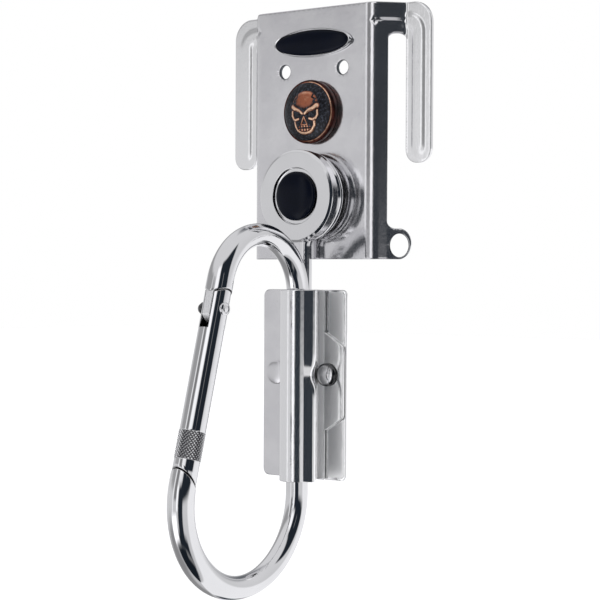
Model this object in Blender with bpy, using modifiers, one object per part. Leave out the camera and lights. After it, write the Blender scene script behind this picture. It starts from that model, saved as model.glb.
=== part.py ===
"""A belt hanger of polished steel that carries a large wire carabiner.

World axes: X to the wearer's right in front view, Y back towards the wearer, Z up.
The origin is on the swivel's axis, on the face of the plate that lies against the belt.
Pieces seen from the front are drawn in a working frame: x across, y up, z out from the belt.
"""
import math

import bmesh
import bpy
from mathutils import Matrix, Vector

# The gap that pieces keep where they touch, and how far a cutter runs past what it cuts
GAP = 0.0003
OVERRUN = 0.002
WELD = GAP / 100
ROUND_SIDES = 48
PIN_SIDES = 24
ROD_SIDES = 16
ARC_STEP = math.radians(15)
OVAL_STEP = math.radians(10)
SHARP_ANGLE = math.radians(35)
DOME_STEPS = 5
TIP_STEPS = 4
CAM_STEPS = 12
MM_PER_M = 1000

# Belt plate: one stamping, its panel in front of the belt and two arms behind it
PLATE_T = 0.0015
PANEL_HALF = 0.0262
PANEL_TOP = 0.0692
PANEL_BOTTOM = -0.0228
WING_ANGLE = math.radians(48)
WING_BEND_R = 0.0022
WING_FLANGE = 0.0038
BELT_ROOM = 0.0078
ARM_W = 0.0112
ARM_BOTTOM = 0.0117
SLOT_TOP = 0.0580
SLOT_CORNER_R = 0.0020
SHOULDER_R = 0.0080
ARM_TIP_R = 0.0050
LUG_HOLE_R = 0.0042
LUG_REACH = 0.0112
LUG_HOLE_Z = -0.0178
LUG_TOP = -0.0117
LUG_FILLET_R = 0.0025
SMALL_HOLE_R = 0.0025
SMALL_HOLE_X = 0.0134
SMALL_HOLE_Z = 0.0466

# Oval badge
BADGE_Z = 0.0564
BADGE_HALF_W = 0.0178
BADGE_HALF_H = 0.0052
BADGE_RIM_W = 0.0013
BADGE_RIM_H = 0.0013
BADGE_FLOOR_T = 0.0005
BADGE_CROWN = 0.0007

# Round ornament button, screwed on from behind
BUTTON_Z = 0.0310
BUTTON_R = 0.0117
BUTTON_H = 0.0030
BUTTON_WALL = 0.0007
BUTTON_FLOOR = 0.0013
BUTTON_CROWN = 0.0026
BUTTON_EDGE_H = 0.0014
SCREW_R = 0.0016
SCREW_HEAD_R = 0.0031
SCREW_HEAD_H = 0.0011
SCREW_SLOT_W = 0.0009
SCREW_SLOT_D = 0.0005

# Swivel: a stud riveted through the plate, with washer, bush, head disc and black dome
STUD_R = 0.0045
STUD_TAIL_R = 0.0058
STUD_SINK = 0.0012
STUD_FLANGE_R = 0.0070
STUD_FLANGE_T = 0.0010
BASE_WASHER_R = 0.0130
BASE_WASHER_T = 0.0011
BUSH_R = 0.0117
DISC_R = 0.0168
DISC_T = 0.0042
DISC_BEVEL = 0.0009
DISC_REAR_BEVEL = 0.0004
RECESS_R = 0.0107
RECESS_TAPER = 0.0011
RECESS_D = 0.0012
DOME_R = 0.0093
DOME_EDGE_H = 0.0010
DOME_CROWN = 0.0009

# Hanger: a ring of round wire around the bush with a straight rod below it
ROD_R = 0.0022
ROD_SHORT = 0.0040

# Clamp: a flat back plate and a formed cover, riveted together over the rod and the spine
CLAMP_LEFT = -0.0208
CLAMP_RIGHT = 0.0168
CLAMP_TOP_RUN = 0.0022
CLAMP_BOTTOM_RUN = 0.0035
CLAMP_BACK_T = 0.0010
CLAMP_COVER_T = 0.0010
CLAMP_CORNER_R = 0.0022
CLAMP_BEND_R = 0.0014
CLAMP_FOOT_R = 0.0008
TAB_TOP_DROP = 0.0156
TAB_BOTTOM_RISE = 0.0180
TAB_CHAMFER = 0.0050
TAB_NECK = 0.0080
BARREL_R = 0.0059
BARREL_ARC_END = math.radians(61)
FACET_ANGLE = math.radians(38.7)
FACET_W = 0.0046
WALL_WAIST_X = 0.0048
WALL_WAIST_OUT = 0.0060
WALL_FOOT = 0.0042
RIVET_DROP = 0.0152
CLAMP_RIVET_SHANK_R = 0.0018
RIGHT_RIVET_X = 0.0092
RIGHT_RIVET_R = 0.0042
RIGHT_RIVET_H = 0.0020
LEFT_RIVET_X = -0.0144
LEFT_RIVET_R = 0.0043
LEFT_RIVET_H = 0.0009
RIVET_EDGE_SHARE = 0.25

# Carabiner: a pear of round wire, its spine in the clamp's barrel
WIRE_R = 0.0040
WIRE_SIDES = 20
SPINE_X = 0.0016
SPINE_OUT = 0.0104
SPINE_LENGTH = 0.0704
TOP_ARC_R = 0.0216
BOTTOM_ARC_R = 0.0310
TOP_ARC_Z = -0.0361
END_SWELL = 0.0007
SWELL_RUN = 0.0100
SWELL_KEPT_SHARE = 0.30
SWELL_GONE_SHARE = 0.62
SHOULDER_SWELL_SHARE = 0.40
GATE_R = 0.0045
GATE_PIVOT = 0.0102
GATE_TOP_R = 0.0067
NOSE_RUN = 0.0007
NOSE_SLANT = math.radians(39)
NOSE_GAP = 0.0004
CROWN_LOW = math.radians(20)
KNURL_LENGTH = 0.0100
COLLAR_LENGTH = 0.0069
KNURL_RAISE = 0.00012
FORK_SLOT_W = 0.0040
FORK_SLOT_BOTTOM = 0.0074
TONGUE_T = 0.0034
TONGUE_INNER = 0.0036
TONGUE_OUTER = 0.0044
CAM_R = 0.0052
CAM_RISE = 0.0010
GATE_OPEN = math.radians(25)
PIN_R = 0.0013
PIN_HEAD_R = 0.0023
PIN_HEAD_H = 0.0006
PIN_KNOB_H = 0.0022
SPRING_BORE_R = 0.0022
SPRING_BORE_END = 0.0220
PLUNGER_TIP_R = 0.0009
PLUNGER_HEAD_R = 0.0018
PLUNGER_HEAD_TOP = 0.0078
PLUNGER_HEAD_H = 0.0018
SPRING_R = 0.0015
SPRING_WIRE_R = 0.00028
SPRING_TURNS = 8
SPRING_TURN_POINTS = 10
SPRING_SIDES = 6

# What follows from the sizes above
PANEL_FRONT = PLATE_T
ARM_FRONT = -BELT_ROOM
WING_STEP = (PANEL_FRONT - ARM_FRONT) / math.tan(WING_ANGLE)
ARM_IN = PANEL_HALF + WING_STEP
ARM_OUT = ARM_IN + ARM_W
FLANGE_OUT = PANEL_HALF + WING_FLANGE
LUG_X = PANEL_HALF + LUG_REACH * math.cos(WING_ANGLE)
RING_OUT = PANEL_FRONT + GAP + BASE_WASHER_T + GAP + ROD_R
DISC_REAR = RING_OUT + ROD_R + GAP
DISC_FRONT = DISC_REAR + DISC_T
RING_R = BUSH_R + GAP + ROD_R
CLAMP_REAR = RING_OUT - ROD_R - GAP - CLAMP_BACK_T
COVER_REAR = CLAMP_REAR + CLAMP_BACK_T + GAP
COVER_MID = COVER_REAR + CLAMP_COVER_T / 2
SPINE_FROM_BELT = PANEL_FRONT + SPINE_OUT
GATE_SLANT = 2 * math.atan2(BOTTOM_ARC_R - TOP_ARC_R, SPINE_LENGTH)
BOTTOM_ARC_Z = TOP_ARC_Z - SPINE_LENGTH
CLAMP_TOP = TOP_ARC_Z + CLAMP_TOP_RUN
CLAMP_BOTTOM = BOTTOM_ARC_Z + CLAMP_BOTTOM_RUN
ROD_END = CLAMP_BOTTOM + ROD_SHORT
TAB_TOP = CLAMP_TOP - TAB_TOP_DROP
TAB_BOTTOM = CLAMP_BOTTOM + TAB_BOTTOM_RISE
CLAMP_RIVET_Z = TAB_TOP - RIVET_DROP
GATE_NOSE = SPINE_LENGTH - GATE_PIVOT - NOSE_RUN
KNURL_END = GATE_NOSE - COLLAR_LENGTH
KNURL_START = KNURL_END - KNURL_LENGTH

# The working frame's z, out from the belt, is the world's minus Y
FACING = Matrix.Rotation(math.radians(90), 4, "X")


def clear_scene():
    """Remove what the file holds, so that the script can run twice."""
    for old in list(bpy.data.objects):
        bpy.data.objects.remove(old, do_unlink=True)
    for old in list(bpy.data.collections):
        bpy.data.collections.remove(old)


def new_collection(name):
    """Add a collection to the scene."""
    made = bpy.data.collections.new(name)
    bpy.context.scene.collection.children.link(made)
    return made


def finish(name, colour, metallic, roughness):
    """A plain Principled material."""
    made = bpy.data.materials.new(name)
    made.use_nodes = True
    shader = made.node_tree.nodes["Principled BSDF"]
    shader.inputs["Base Color"].default_value = (*colour, 1)
    shader.inputs["Metallic"].default_value = metallic
    shader.inputs["Roughness"].default_value = roughness
    made.diffuse_color = (*colour, 1)
    return made


def link(name, data, collection):
    """An object of the data, in the collection."""
    made = bpy.data.objects.new(name, data)
    collection.objects.link(made)
    return made


def curve_to_mesh(curve_object, weld):
    """Turn a curve object into a mesh object with its caps welded on."""
    bpy.context.view_layer.update()
    seen = curve_object.evaluated_get(bpy.context.evaluated_depsgraph_get())
    mesh = bpy.data.meshes.new_from_object(seen)
    work = bmesh.new()
    work.from_mesh(mesh)
    bmesh.ops.remove_doubles(work, verts=work.verts, dist=weld)
    bmesh.ops.recalc_face_normals(work, faces=work.faces)
    work.to_mesh(mesh)
    work.free()
    name, place = curve_object.name, curve_object.matrix_world.copy()
    collection = curve_object.users_collection[0]
    bpy.data.objects.remove(curve_object, do_unlink=True)
    made = link(name, mesh, collection)
    made.matrix_world = place
    return made


def slab(name, outline, low, high, collection):
    """A flat solid of an outline in the XY plane, from z = low to z = high."""
    curve = bpy.data.curves.new(name, "CURVE")
    curve.dimensions = "2D"
    curve.fill_mode = "BOTH"
    curve.extrude = (high - low) / 2
    spline = curve.splines.new("POLY")
    spline.points.add(len(outline) - 1)
    for point, (x, y) in zip(spline.points, outline):
        point.co = (x, y, 0, 1)
    spline.use_cyclic_u = True
    flat = link(name, curve, collection)
    made = curve_to_mesh(flat, WELD)
    made.data.transform(Matrix.Translation((0, 0, (high + low) / 2)))
    return made


def turned(name, profile, sides, collection, closed=False):
    """A profile of (radius, z) points turned about Z; a closed one makes a ring."""
    mesh = bpy.data.meshes.new(name)
    count = len(profile)
    edges = [(i, i + 1) for i in range(count - 1)]
    if closed:
        edges.append((count - 1, 0))
    mesh.from_pydata([(r, 0, z) for r, z in profile], edges, [])
    made = link(name, mesh, collection)
    screw = made.modifiers.new("turn", "SCREW")
    screw.axis = "Z"
    screw.steps = screw.render_steps = sides
    screw.use_merge_vertices = True
    screw.merge_threshold = WELD
    return made


def tube(name, points, radius, sides, collection, radii=None, cyclic=False):
    """A round wire along a list of points."""
    curve = bpy.data.curves.new(name, "CURVE")
    curve.dimensions = "3D"
    curve.fill_mode = "FULL"
    curve.bevel_depth = radius
    # A full bevel has four sides more than twice its resolution
    curve.bevel_resolution = (sides - 4) // 2
    curve.use_fill_caps = True
    spline = curve.splines.new("POLY")
    spline.points.add(len(points) - 1)
    for i, (point, place) in enumerate(zip(spline.points, points)):
        point.co = (*place, 1)
        point.radius = radii[i] if radii else 1
    spline.use_cyclic_u = cyclic
    return link(name, curve, collection)


def arc(centre, radius, start, end):
    """Points on a circle, both ends included."""
    steps = max(2, round(abs(end - start) / ARC_STEP))
    turn = (end - start) / steps
    angles = [start + turn * i for i in range(steps + 1)]
    return [(centre[0] + radius * math.cos(a), centre[1] + radius * math.sin(a)) for a in angles]


def rounded(corners, closed=True):
    """Points along corners of (x, y, radius), with an arc at each radius."""
    count = len(corners)
    points = []
    for i, (x, y, radius) in enumerate(corners):
        here = Vector((x, y))
        if radius == 0 or (not closed and i in (0, count - 1)):
            points.append((x, y))
            continue
        back = (Vector(corners[i - 1][:2]) - here).normalized()
        ahead = (Vector(corners[(i + 1) % count][:2]) - here).normalized()
        half = back.angle(ahead) / 2
        centre = here + (back + ahead).normalized() * (radius / math.sin(half))
        reach = radius / math.tan(half)
        first = here + back * reach - centre
        last = here + ahead * reach - centre
        start = math.atan2(first.y, first.x)
        sweep = first.angle_signed(last)
        points += arc(centre, radius, start, start - sweep)
    return points


def sheet_outline(path, thickness):
    """The outline of a bent sheet whose middle line is the path."""
    near, far = [], []
    count = len(path)
    for i, place in enumerate(path):
        here = Vector(place)
        before = here - Vector(path[max(i - 1, 0)])
        after = Vector(path[min(i + 1, count - 1)]) - here
        before = before.normalized() if i else after.normalized()
        after = after.normalized() if i < count - 1 else before
        along = (before + after).normalized()
        across = Vector((-along.y, along.x)) * (thickness / 2 / along.dot(before))
        near.append(tuple(here + across))
        far.append(tuple(here - across))
    return near + far[::-1]


def ellipse(centre, half_w, half_h, step, start=0):
    """Points on an ellipse, the first at the start angle."""
    count = round(2 * math.pi / step)
    angles = [start + 2 * math.pi * i / count for i in range(count)]
    return [(centre[0] + half_w * math.cos(a), centre[1] + half_h * math.sin(a)) for a in angles]


def quarter(steps):
    """The angles of a quarter turn in equal steps."""
    return [math.pi / 2 * i / steps for i in range(steps + 1)]


def dome_profile(radius, edge, crown, base):
    """A disc with an upright edge and a domed top, from the top's middle down."""
    top = [(radius * math.sin(a), base + edge + crown * math.cos(a)) for a in quarter(DOME_STEPS)]
    return top + [(radius, base), (0, base)]


def rod_cutter(name, radius, low, high, sides=PIN_SIDES):
    """A cylinder along Z from low to high, kept as a cutter."""
    work = bmesh.new()
    bmesh.ops.create_cone(work, cap_ends=True, segments=sides, radius1=radius, radius2=radius,
                          depth=high - low, matrix=Matrix.Translation((0, 0, (high + low) / 2)))
    mesh = bpy.data.meshes.new(name)
    work.to_mesh(mesh)
    work.free()
    return link(name, mesh, CUTTERS)


def combine(target, tool, operation="DIFFERENCE"):
    """Cut, join or intersect the target with a tool that stays as a cutter."""
    change = target.modifiers.new(tool.name, "BOOLEAN")
    change.operation = operation
    change.object = tool
    tool.hide_render = True
    tool.display_type = "WIRE"
    if tool.name not in CUTTERS.objects:
        for home in list(tool.users_collection):
            home.objects.unlink(tool)
        CUTTERS.objects.link(tool)


def bake(made, matrix):
    """Turn a modelled object into plain mesh, with the matrix put into its points."""
    bpy.context.view_layer.update()
    seen = made.evaluated_get(bpy.context.evaluated_depsgraph_get())
    mesh = bpy.data.meshes.new_from_object(seen)
    mesh.transform(matrix)
    made.modifiers.clear()
    made.data = mesh
    return made


def place(made, matrix, material, parent=None):
    """Put a piece in the world, give it its material and hang it on its empty."""
    made.matrix_world = matrix
    if made.type == "MESH":
        made.data.shade_smooth()
        made.data.set_sharp_from_angle(angle=SHARP_ANGLE)
    if material:
        made.data.materials.append(material)
    if parent:
        made.parent = parent
        made.matrix_parent_inverse = parent.matrix_world.inverted()
    return made


def add_axis(name, matrix, parent=None):
    """An empty on a joint's axis."""
    made = link(name, None, HANGER)
    made.empty_display_size = STUD_R
    made.matrix_world = matrix
    if parent:
        made.parent = parent
        made.matrix_parent_inverse = parent.matrix_world.inverted()
    bpy.context.view_layer.update()
    return made


def spot(x, z):
    """The working frame moved to a place on the panel."""
    return FACING @ Matrix.Translation((x, z, 0))


def plate_section():
    """The stamping seen from above, as a strip along its folds."""
    out_y = -(ARM_FRONT - PLATE_T / 2)
    in_y = -(PANEL_FRONT - PLATE_T / 2)
    half = [(PANEL_HALF, in_y, WING_BEND_R), (ARM_IN, out_y, WING_BEND_R), (ARM_OUT, out_y, 0)]
    mirrored = [(-x, y, r) for x, y, r in half[::-1]]
    return sheet_outline(rounded(mirrored + half, closed=False), PLATE_T)


def plate_blank():
    """The stamping seen from the front, with its lug at the lower right."""
    lug_r = (LUG_TOP - PANEL_BOTTOM) / 2
    squash = math.cos(WING_ANGLE)
    half_round = arc((0, PANEL_BOTTOM + lug_r), lug_r, math.pi / 2, -math.pi / 2)
    lug = [(LUG_X + x * squash, z) for x, z in half_round]
    arm = [(ARM_OUT, PANEL_TOP, SHOULDER_R), (ARM_OUT, ARM_BOTTOM, ARM_TIP_R),
           (ARM_IN, ARM_BOTTOM, ARM_TIP_R), (ARM_IN, SLOT_TOP, SLOT_CORNER_R),
           (FLANGE_OUT, SLOT_TOP, SLOT_CORNER_R)]
    left = [(-x, z, r) for x, z, r in arm[::-1]]
    right_side = rounded([left[-1], *arm, (FLANGE_OUT, LUG_TOP, LUG_FILLET_R), (*lug[0], 0)],
                         closed=False)[1:]
    left_side = rounded([(-FLANGE_OUT, PANEL_BOTTOM, 0), *left, arm[0]], closed=False)[:-1]
    return right_side + lug[1:] + left_side


def sunk_hole(name, shank_r, head_r, depth, z):
    """A cutter for a shank whose tapered head is flush with the belt face."""
    bore, mouth = shank_r + GAP, head_r + GAP
    front = PANEL_FRONT + OVERRUN
    cutter = turned(name, [(0, front), (bore, front), (bore, depth), (mouth, 0), (mouth, -OVERRUN),
                           (0, -OVERRUN)], PIN_SIDES, CUTTERS)
    cutter.matrix_world = spot(0, z)
    return cutter


def make_belt_plate():
    """The stamping: folded strip, cut to its blank and pierced."""
    plate = slab("belt_plate", plate_section(), PANEL_BOTTOM - OVERRUN, PANEL_TOP + OVERRUN, HANGER)
    blank = slab("plate_blank", plate_blank(), ARM_FRONT - PLATE_T - OVERRUN, PANEL_FRONT + OVERRUN,
                 CUTTERS)
    blank.matrix_world = FACING
    combine(plate, blank, "INTERSECT")
    for name, x in (("small_hole_left", -SMALL_HOLE_X), ("small_hole_right", SMALL_HOLE_X)):
        hole = rod_cutter(name, SMALL_HOLE_R, -OVERRUN, PANEL_FRONT + OVERRUN)
        hole.matrix_world = spot(x, SMALL_HOLE_Z)
        combine(plate, hole)
    combine(plate, sunk_hole("stud_hole", STUD_R, STUD_TAIL_R, STUD_SINK, 0))
    combine(plate, sunk_hole("button_hole", SCREW_R, SCREW_HEAD_R, SCREW_HEAD_H, BUTTON_Z))
    lug_out = PANEL_FRONT - PLATE_T / 2 - LUG_REACH * math.sin(WING_ANGLE)
    lug_hole = rod_cutter("lug_hole", LUG_HOLE_R, -LUG_HOLE_R, LUG_HOLE_R)
    lug_hole.matrix_world = (FACING @ Matrix.Translation((LUG_X, LUG_HOLE_Z, lug_out))
                             @ Matrix.Rotation(WING_ANGLE, 4, "Y"))
    combine(plate, lug_hole)
    place(plate, Matrix.Identity(4), STEEL)


def make_badge():
    """An oval tray with a black domed inlay."""
    base = PANEL_FRONT + GAP
    bezel = slab("badge_bezel", ellipse((0, 0), BADGE_HALF_W, BADGE_HALF_H, OVAL_STEP),
                 base, base + BADGE_RIM_H, HANGER)
    window_w = BADGE_HALF_W - BADGE_RIM_W
    window_h = BADGE_HALF_H - BADGE_RIM_W
    window = slab("badge_window", ellipse((0, 0), window_w, window_h, OVAL_STEP),
                  base + BADGE_FLOOR_T, base + BADGE_RIM_H + OVERRUN, CUTTERS)
    window.matrix_world = spot(0, BADGE_Z)
    combine(bezel, window)
    place(bezel, spot(0, BADGE_Z), STEEL)
    seat = base + BADGE_FLOOR_T + GAP
    edge = base + BADGE_RIM_H - seat
    profile = dome_profile(window_w - GAP, edge, BADGE_CROWN, seat)
    inlay = turned("badge_inlay", profile, ROUND_SIDES // 2, HANGER)
    squash = Matrix.Diagonal((1, (window_h - GAP) / (window_w - GAP), 1, 1))
    place(bake(inlay, squash), spot(0, BADGE_Z), BLACK)


def make_button():
    """The ornament: a cup with a threaded post, a domed face and a sunk screw from behind."""
    rear = PANEL_FRONT + GAP
    front = rear + BUTTON_H - GAP
    floor = rear + BUTTON_FLOOR
    lip = BUTTON_R - BUTTON_WALL
    bore = SCREW_R + GAP
    cup = turned("button_cup", [(BUTTON_R, front), (BUTTON_R, rear), (bore, rear), (bore, floor),
                                (lip, floor), (lip, front)], ROUND_SIDES, HANGER, closed=True)
    place(cup, spot(0, BUTTON_Z), COPPER)
    seat = floor + GAP
    profile = dome_profile(lip - GAP, BUTTON_EDGE_H, BUTTON_CROWN, seat)
    place(turned("button_face", profile, ROUND_SIDES, HANGER), spot(0, BUTTON_Z), DARK_COPPER)
    screw = turned("button_screw", [(0, floor - GAP), (SCREW_R, floor - GAP), (SCREW_R, SCREW_HEAD_H),
                                    (SCREW_HEAD_R, 0), (0, 0)], PIN_SIDES, HANGER)
    half_slot = SCREW_SLOT_W / 2
    reach = SCREW_HEAD_R + OVERRUN
    slot = slab("screw_slot", [(-reach, -half_slot), (reach, -half_slot), (reach, half_slot),
                               (-reach, half_slot)], -OVERRUN, SCREW_SLOT_D, CUTTERS)
    slot.matrix_world = spot(0, BUTTON_Z)
    combine(screw, slot)
    place(screw, spot(0, BUTTON_Z), STEEL)


def make_swivel():
    """The stud through the plate and what it holds in front of it."""
    flange_top = DISC_FRONT - RECESS_D - GAP
    flange_low = flange_top - STUD_FLANGE_T
    stud = turned("swivel_stud", [(0, flange_top), (STUD_FLANGE_R, flange_top),
                                  (STUD_FLANGE_R, flange_low), (STUD_R, flange_low),
                                  (STUD_R, STUD_SINK), (STUD_TAIL_R, 0), (0, 0)],
                  PIN_SIDES, HANGER)
    place(stud, FACING, STEEL)
    bore = STUD_R + GAP
    washer_low = PANEL_FRONT + GAP
    washer_top = washer_low + BASE_WASHER_T
    washer = turned("base_washer", [(BASE_WASHER_R, washer_top), (BASE_WASHER_R, washer_low),
                                    (bore, washer_low), (bore, washer_top)],
                    ROUND_SIDES, HANGER, closed=True)
    place(washer, FACING, STEEL)
    bush = turned("swivel_bush", [(BUSH_R, DISC_REAR - GAP), (BUSH_R, washer_top + GAP),
                                  (bore, washer_top + GAP), (bore, DISC_REAR - GAP)],
                  ROUND_SIDES, HANGER, closed=True)
    place(bush, FACING, STEEL)
    well = STUD_FLANGE_R + GAP
    disc = turned("head_disc", [(RECESS_R, DISC_FRONT), (DISC_R - DISC_BEVEL, DISC_FRONT),
                                (DISC_R, DISC_FRONT - DISC_BEVEL), (DISC_R, DISC_REAR + DISC_REAR_BEVEL),
                                (DISC_R - DISC_REAR_BEVEL, DISC_REAR), (bore, DISC_REAR),
                                (bore, flange_low - GAP), (well, flange_low - GAP),
                                (well, DISC_FRONT - RECESS_D),
                                (RECESS_R - RECESS_TAPER, DISC_FRONT - RECESS_D)],
                  ROUND_SIDES, HANGER, closed=True)
    place(disc, FACING, STEEL)
    seat = DISC_FRONT - RECESS_D + GAP
    profile = dome_profile(DOME_R, DOME_EDGE_H, DOME_CROWN, seat)
    place(turned("black_dome", profile, ROUND_SIDES, HANGER), FACING, BLACK)


def make_hanger(parent):
    """The ring around the bush, welded to its rod."""
    turns = ROUND_SIDES
    ring_points = [(RING_R * math.cos(2 * math.pi * i / turns), RING_R * math.sin(2 * math.pi * i / turns),
                    RING_OUT) for i in range(turns)]
    ring = curve_to_mesh(tube("hanger_eye", ring_points, ROD_R, ROD_SIDES, HANGER, cyclic=True),
                         WELD)
    rod = rod_cutter("hanger_rod", ROD_R, RING_R, -ROD_END, WIRE_SIDES)
    rod.matrix_world = (FACING @ Matrix.Translation((0, 0, RING_OUT))
                        @ Matrix.Rotation(math.radians(90), 4, "X"))
    combine(ring, rod, "UNION")
    place(ring, FACING, STEEL, parent)


def clamp_outline():
    """The clamp seen from the front."""
    r = CLAMP_CORNER_R
    return rounded([(CLAMP_LEFT, CLAMP_TOP, r), (CLAMP_RIGHT, CLAMP_TOP, r),
                    (CLAMP_RIGHT, CLAMP_BOTTOM, r), (CLAMP_LEFT, CLAMP_BOTTOM, r)])


def flange_recesses(front):
    """A cutter for the cover's right flange above and below its tab; it ends behind the barrel."""
    right, r = CLAMP_RIGHT - GAP, CLAMP_CORNER_R
    far = CLAMP_RIGHT + OVERRUN
    low, high = CLAMP_BOTTOM - OVERRUN, CLAMP_TOP + OVERRUN
    cutter = slab("flange_recesses", [(TAB_NECK, high), (far, high), (far, low), (TAB_NECK, low)],
                  -OVERRUN, front + GAP, CUTTERS)
    tab = slab("tab_form", rounded([(0, TAB_TOP, 0), (TAB_NECK, TAB_TOP, 0),
                                    (right, TAB_TOP - TAB_CHAMFER, r), (right, TAB_BOTTOM + TAB_CHAMFER, r),
                                    (TAB_NECK, TAB_BOTTOM, 0), (0, TAB_BOTTOM, 0)]),
               -2 * OVERRUN, front + OVERRUN, CUTTERS)
    combine(cutter, tab)
    cutter.matrix_world = tab.matrix_world = FACING
    return cutter


def cover_section():
    """The cover seen from above: flange, barrel around the spine, flat, wall and tab."""
    axis = Vector((SPINE_X, -SPINE_FROM_BELT))
    left_wall = SPINE_X - BARREL_R
    foot = -COVER_MID
    start = rounded([(CLAMP_LEFT - OVERRUN, foot, 0), (left_wall, foot, CLAMP_BEND_R),
                     (left_wall, axis.y, 0)], closed=False)
    barrel = arc(axis, BARREL_R, math.radians(-180), BARREL_ARC_END - math.radians(90))
    last = Vector(barrel[-1])
    flat_end = last + FACET_W * Vector((math.cos(FACET_ANGLE), math.sin(FACET_ANGLE)))
    waist = -(PANEL_FRONT + WALL_WAIST_OUT)
    end = rounded([(*last, 0), (*flat_end, CLAMP_BEND_R), (WALL_WAIST_X, waist, CLAMP_BEND_R),
                   (WALL_FOOT, foot, CLAMP_FOOT_R), (CLAMP_RIGHT + OVERRUN, foot, 0)], closed=False)
    return sheet_outline(start[:-1] + barrel + end[1:], CLAMP_COVER_T)


def make_clamp_rivet(name, x, radius, height, front, parent):
    """A domed rivet with its shank trimmed flush at the back."""
    low = front + GAP
    edge = height * RIVET_EDGE_SHARE
    profile = dome_profile(radius, edge, height - edge, low)[:-1]
    profile += [(CLAMP_RIVET_SHANK_R, low), (CLAMP_RIVET_SHANK_R, CLAMP_REAR), (0, CLAMP_REAR)]
    place(turned(name, profile, PIN_SIDES, HANGER), spot(x, CLAMP_RIVET_Z), STEEL, parent)


def make_clamp(parent):
    """Back plate, cover and the two rivets through both."""
    back = slab("clamp_back", clamp_outline(), CLAMP_REAR, CLAMP_REAR + CLAMP_BACK_T, HANGER)
    cover = slab("clamp_cover", cover_section(), CLAMP_BOTTOM - OVERRUN, CLAMP_TOP + OVERRUN, HANGER)
    far = SPINE_FROM_BELT + BARREL_R + OVERRUN
    trim = slab("cover_trim", clamp_outline(), -OVERRUN, far, CUTTERS)
    trim.matrix_world = FACING
    combine(cover, trim, "INTERSECT")
    front = COVER_REAR + CLAMP_COVER_T
    combine(cover, flange_recesses(front))
    for side, x in (("left", LEFT_RIVET_X), ("right", RIGHT_RIVET_X)):
        for piece in (back, cover):
            hole = rod_cutter(f"{side}_hole_{piece.name}", CLAMP_RIVET_SHANK_R + GAP, -OVERRUN,
                              front + OVERRUN)
            hole.matrix_world = spot(x, CLAMP_RIVET_Z)
            combine(piece, hole)
    place(back, FACING, STEEL, parent)
    place(cover, Matrix.Identity(4), STEEL, parent)
    make_clamp_rivet("clamp_rivet_left", LEFT_RIVET_X, LEFT_RIVET_R, LEFT_RIVET_H, front, parent)
    make_clamp_rivet("clamp_rivet_right", RIGHT_RIVET_X, RIGHT_RIVET_R, RIGHT_RIVET_H, front, parent)


def along_gate(distance, aside=0):
    """A point (out, up) on the line of the gate, measured down from the top arc's end."""
    normal = Vector((math.cos(GATE_SLANT), math.sin(GATE_SLANT)))
    down = Vector((math.sin(GATE_SLANT), -math.cos(GATE_SLANT)))
    start = Vector((TOP_ARC_R, TOP_ARC_Z)) + TOP_ARC_R * normal
    return start + distance * down + aside * normal


def pear_points():
    """The wire's middle line from the nose round to the shoulder, as (out, up) points and radii."""
    nose = GATE_PIVOT + GATE_NOSE
    swell = END_SWELL / WIRE_R
    route = [tuple(along_gate(nose - SWELL_RUN)), tuple(along_gate(nose))]
    bottom = arc((BOTTOM_ARC_R, BOTTOM_ARC_Z), BOTTOM_ARC_R, GATE_SLANT, math.radians(-180))
    top = arc((TOP_ARC_R, TOP_ARC_Z), TOP_ARC_R, math.radians(180), GATE_SLANT)
    route += bottom + top + [tuple(along_gate(GATE_PIVOT))]
    fade = SWELL_GONE_SHARE - SWELL_KEPT_SHARE
    radii = [1 + swell] * 2
    for i in range(len(bottom)):
        left = (SWELL_GONE_SHARE - i / (len(bottom) - 1)) / fade
        radii.append(1 + swell * max(0, min(1, left)))
    for i in range(len(top)):
        gained = (i / (len(top) - 1) - SHOULDER_SWELL_SHARE) / (1 - SHOULDER_SWELL_SHARE)
        radii.append(1 + swell * max(0, gained))
    return route, radii + [1 + swell]


def gate_frame():
    """The gate's own frame at its pivot: x along the pin, y up the gate, z outwards."""
    out, up = along_gate(GATE_PIVOT)
    return (FACING @ Matrix.Translation((SPINE_X, up, SPINE_FROM_BELT + out))
            @ Matrix.Rotation(-GATE_SLANT, 4, "X"))


def sideways(made, gate):
    """Lay a flat solid drawn as (outwards, up) in the gate's plane, its thickness along the pin."""
    made.matrix_world = gate @ Matrix(((0, 0, 1, 0), (0, 1, 0, 0), (1, 0, 0, 0), (0, 0, 0, 1)))


def tongue_outline():
    """The tongue seen along the pin: straight sides above, a cam for the plunger below."""
    rise = GATE_TOP_R + GAP + OVERRUN
    points = [(TONGUE_OUTER, rise), (-TONGUE_INNER, rise)]
    for i in range(CAM_STEPS + 1):
        angle = math.pi * (1 + i / CAM_STEPS)
        share = max(0, min(1, (math.radians(270) - angle) / GATE_OPEN))
        radius = CAM_R + CAM_RISE * share
        out = max(-TONGUE_INNER, min(TONGUE_OUTER, radius * math.cos(angle)))
        points.append((out, radius * math.sin(angle)))
    return points


def cut_nose(target, gate, above):
    """Trim the wire above the nose joint, or the gate below it."""
    reach = GATE_R + OVERRUN
    shift = NOSE_GAP / 2 if above else -NOSE_GAP / 2
    slope = math.tan(NOSE_SLANT)
    mid = -GATE_NOSE - shift
    outer, inner = mid + reach * slope, mid - reach * slope
    far = mid + (SWELL_RUN * 2 if above else -SWELL_RUN * 2)
    outline = [(-reach, inner), (reach, outer), (reach, far), (-reach, far)]
    trim = slab(f"{target.name}_nose_trim", outline, -reach, reach, CUTTERS)
    sideways(trim, gate)
    combine(target, trim)


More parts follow.
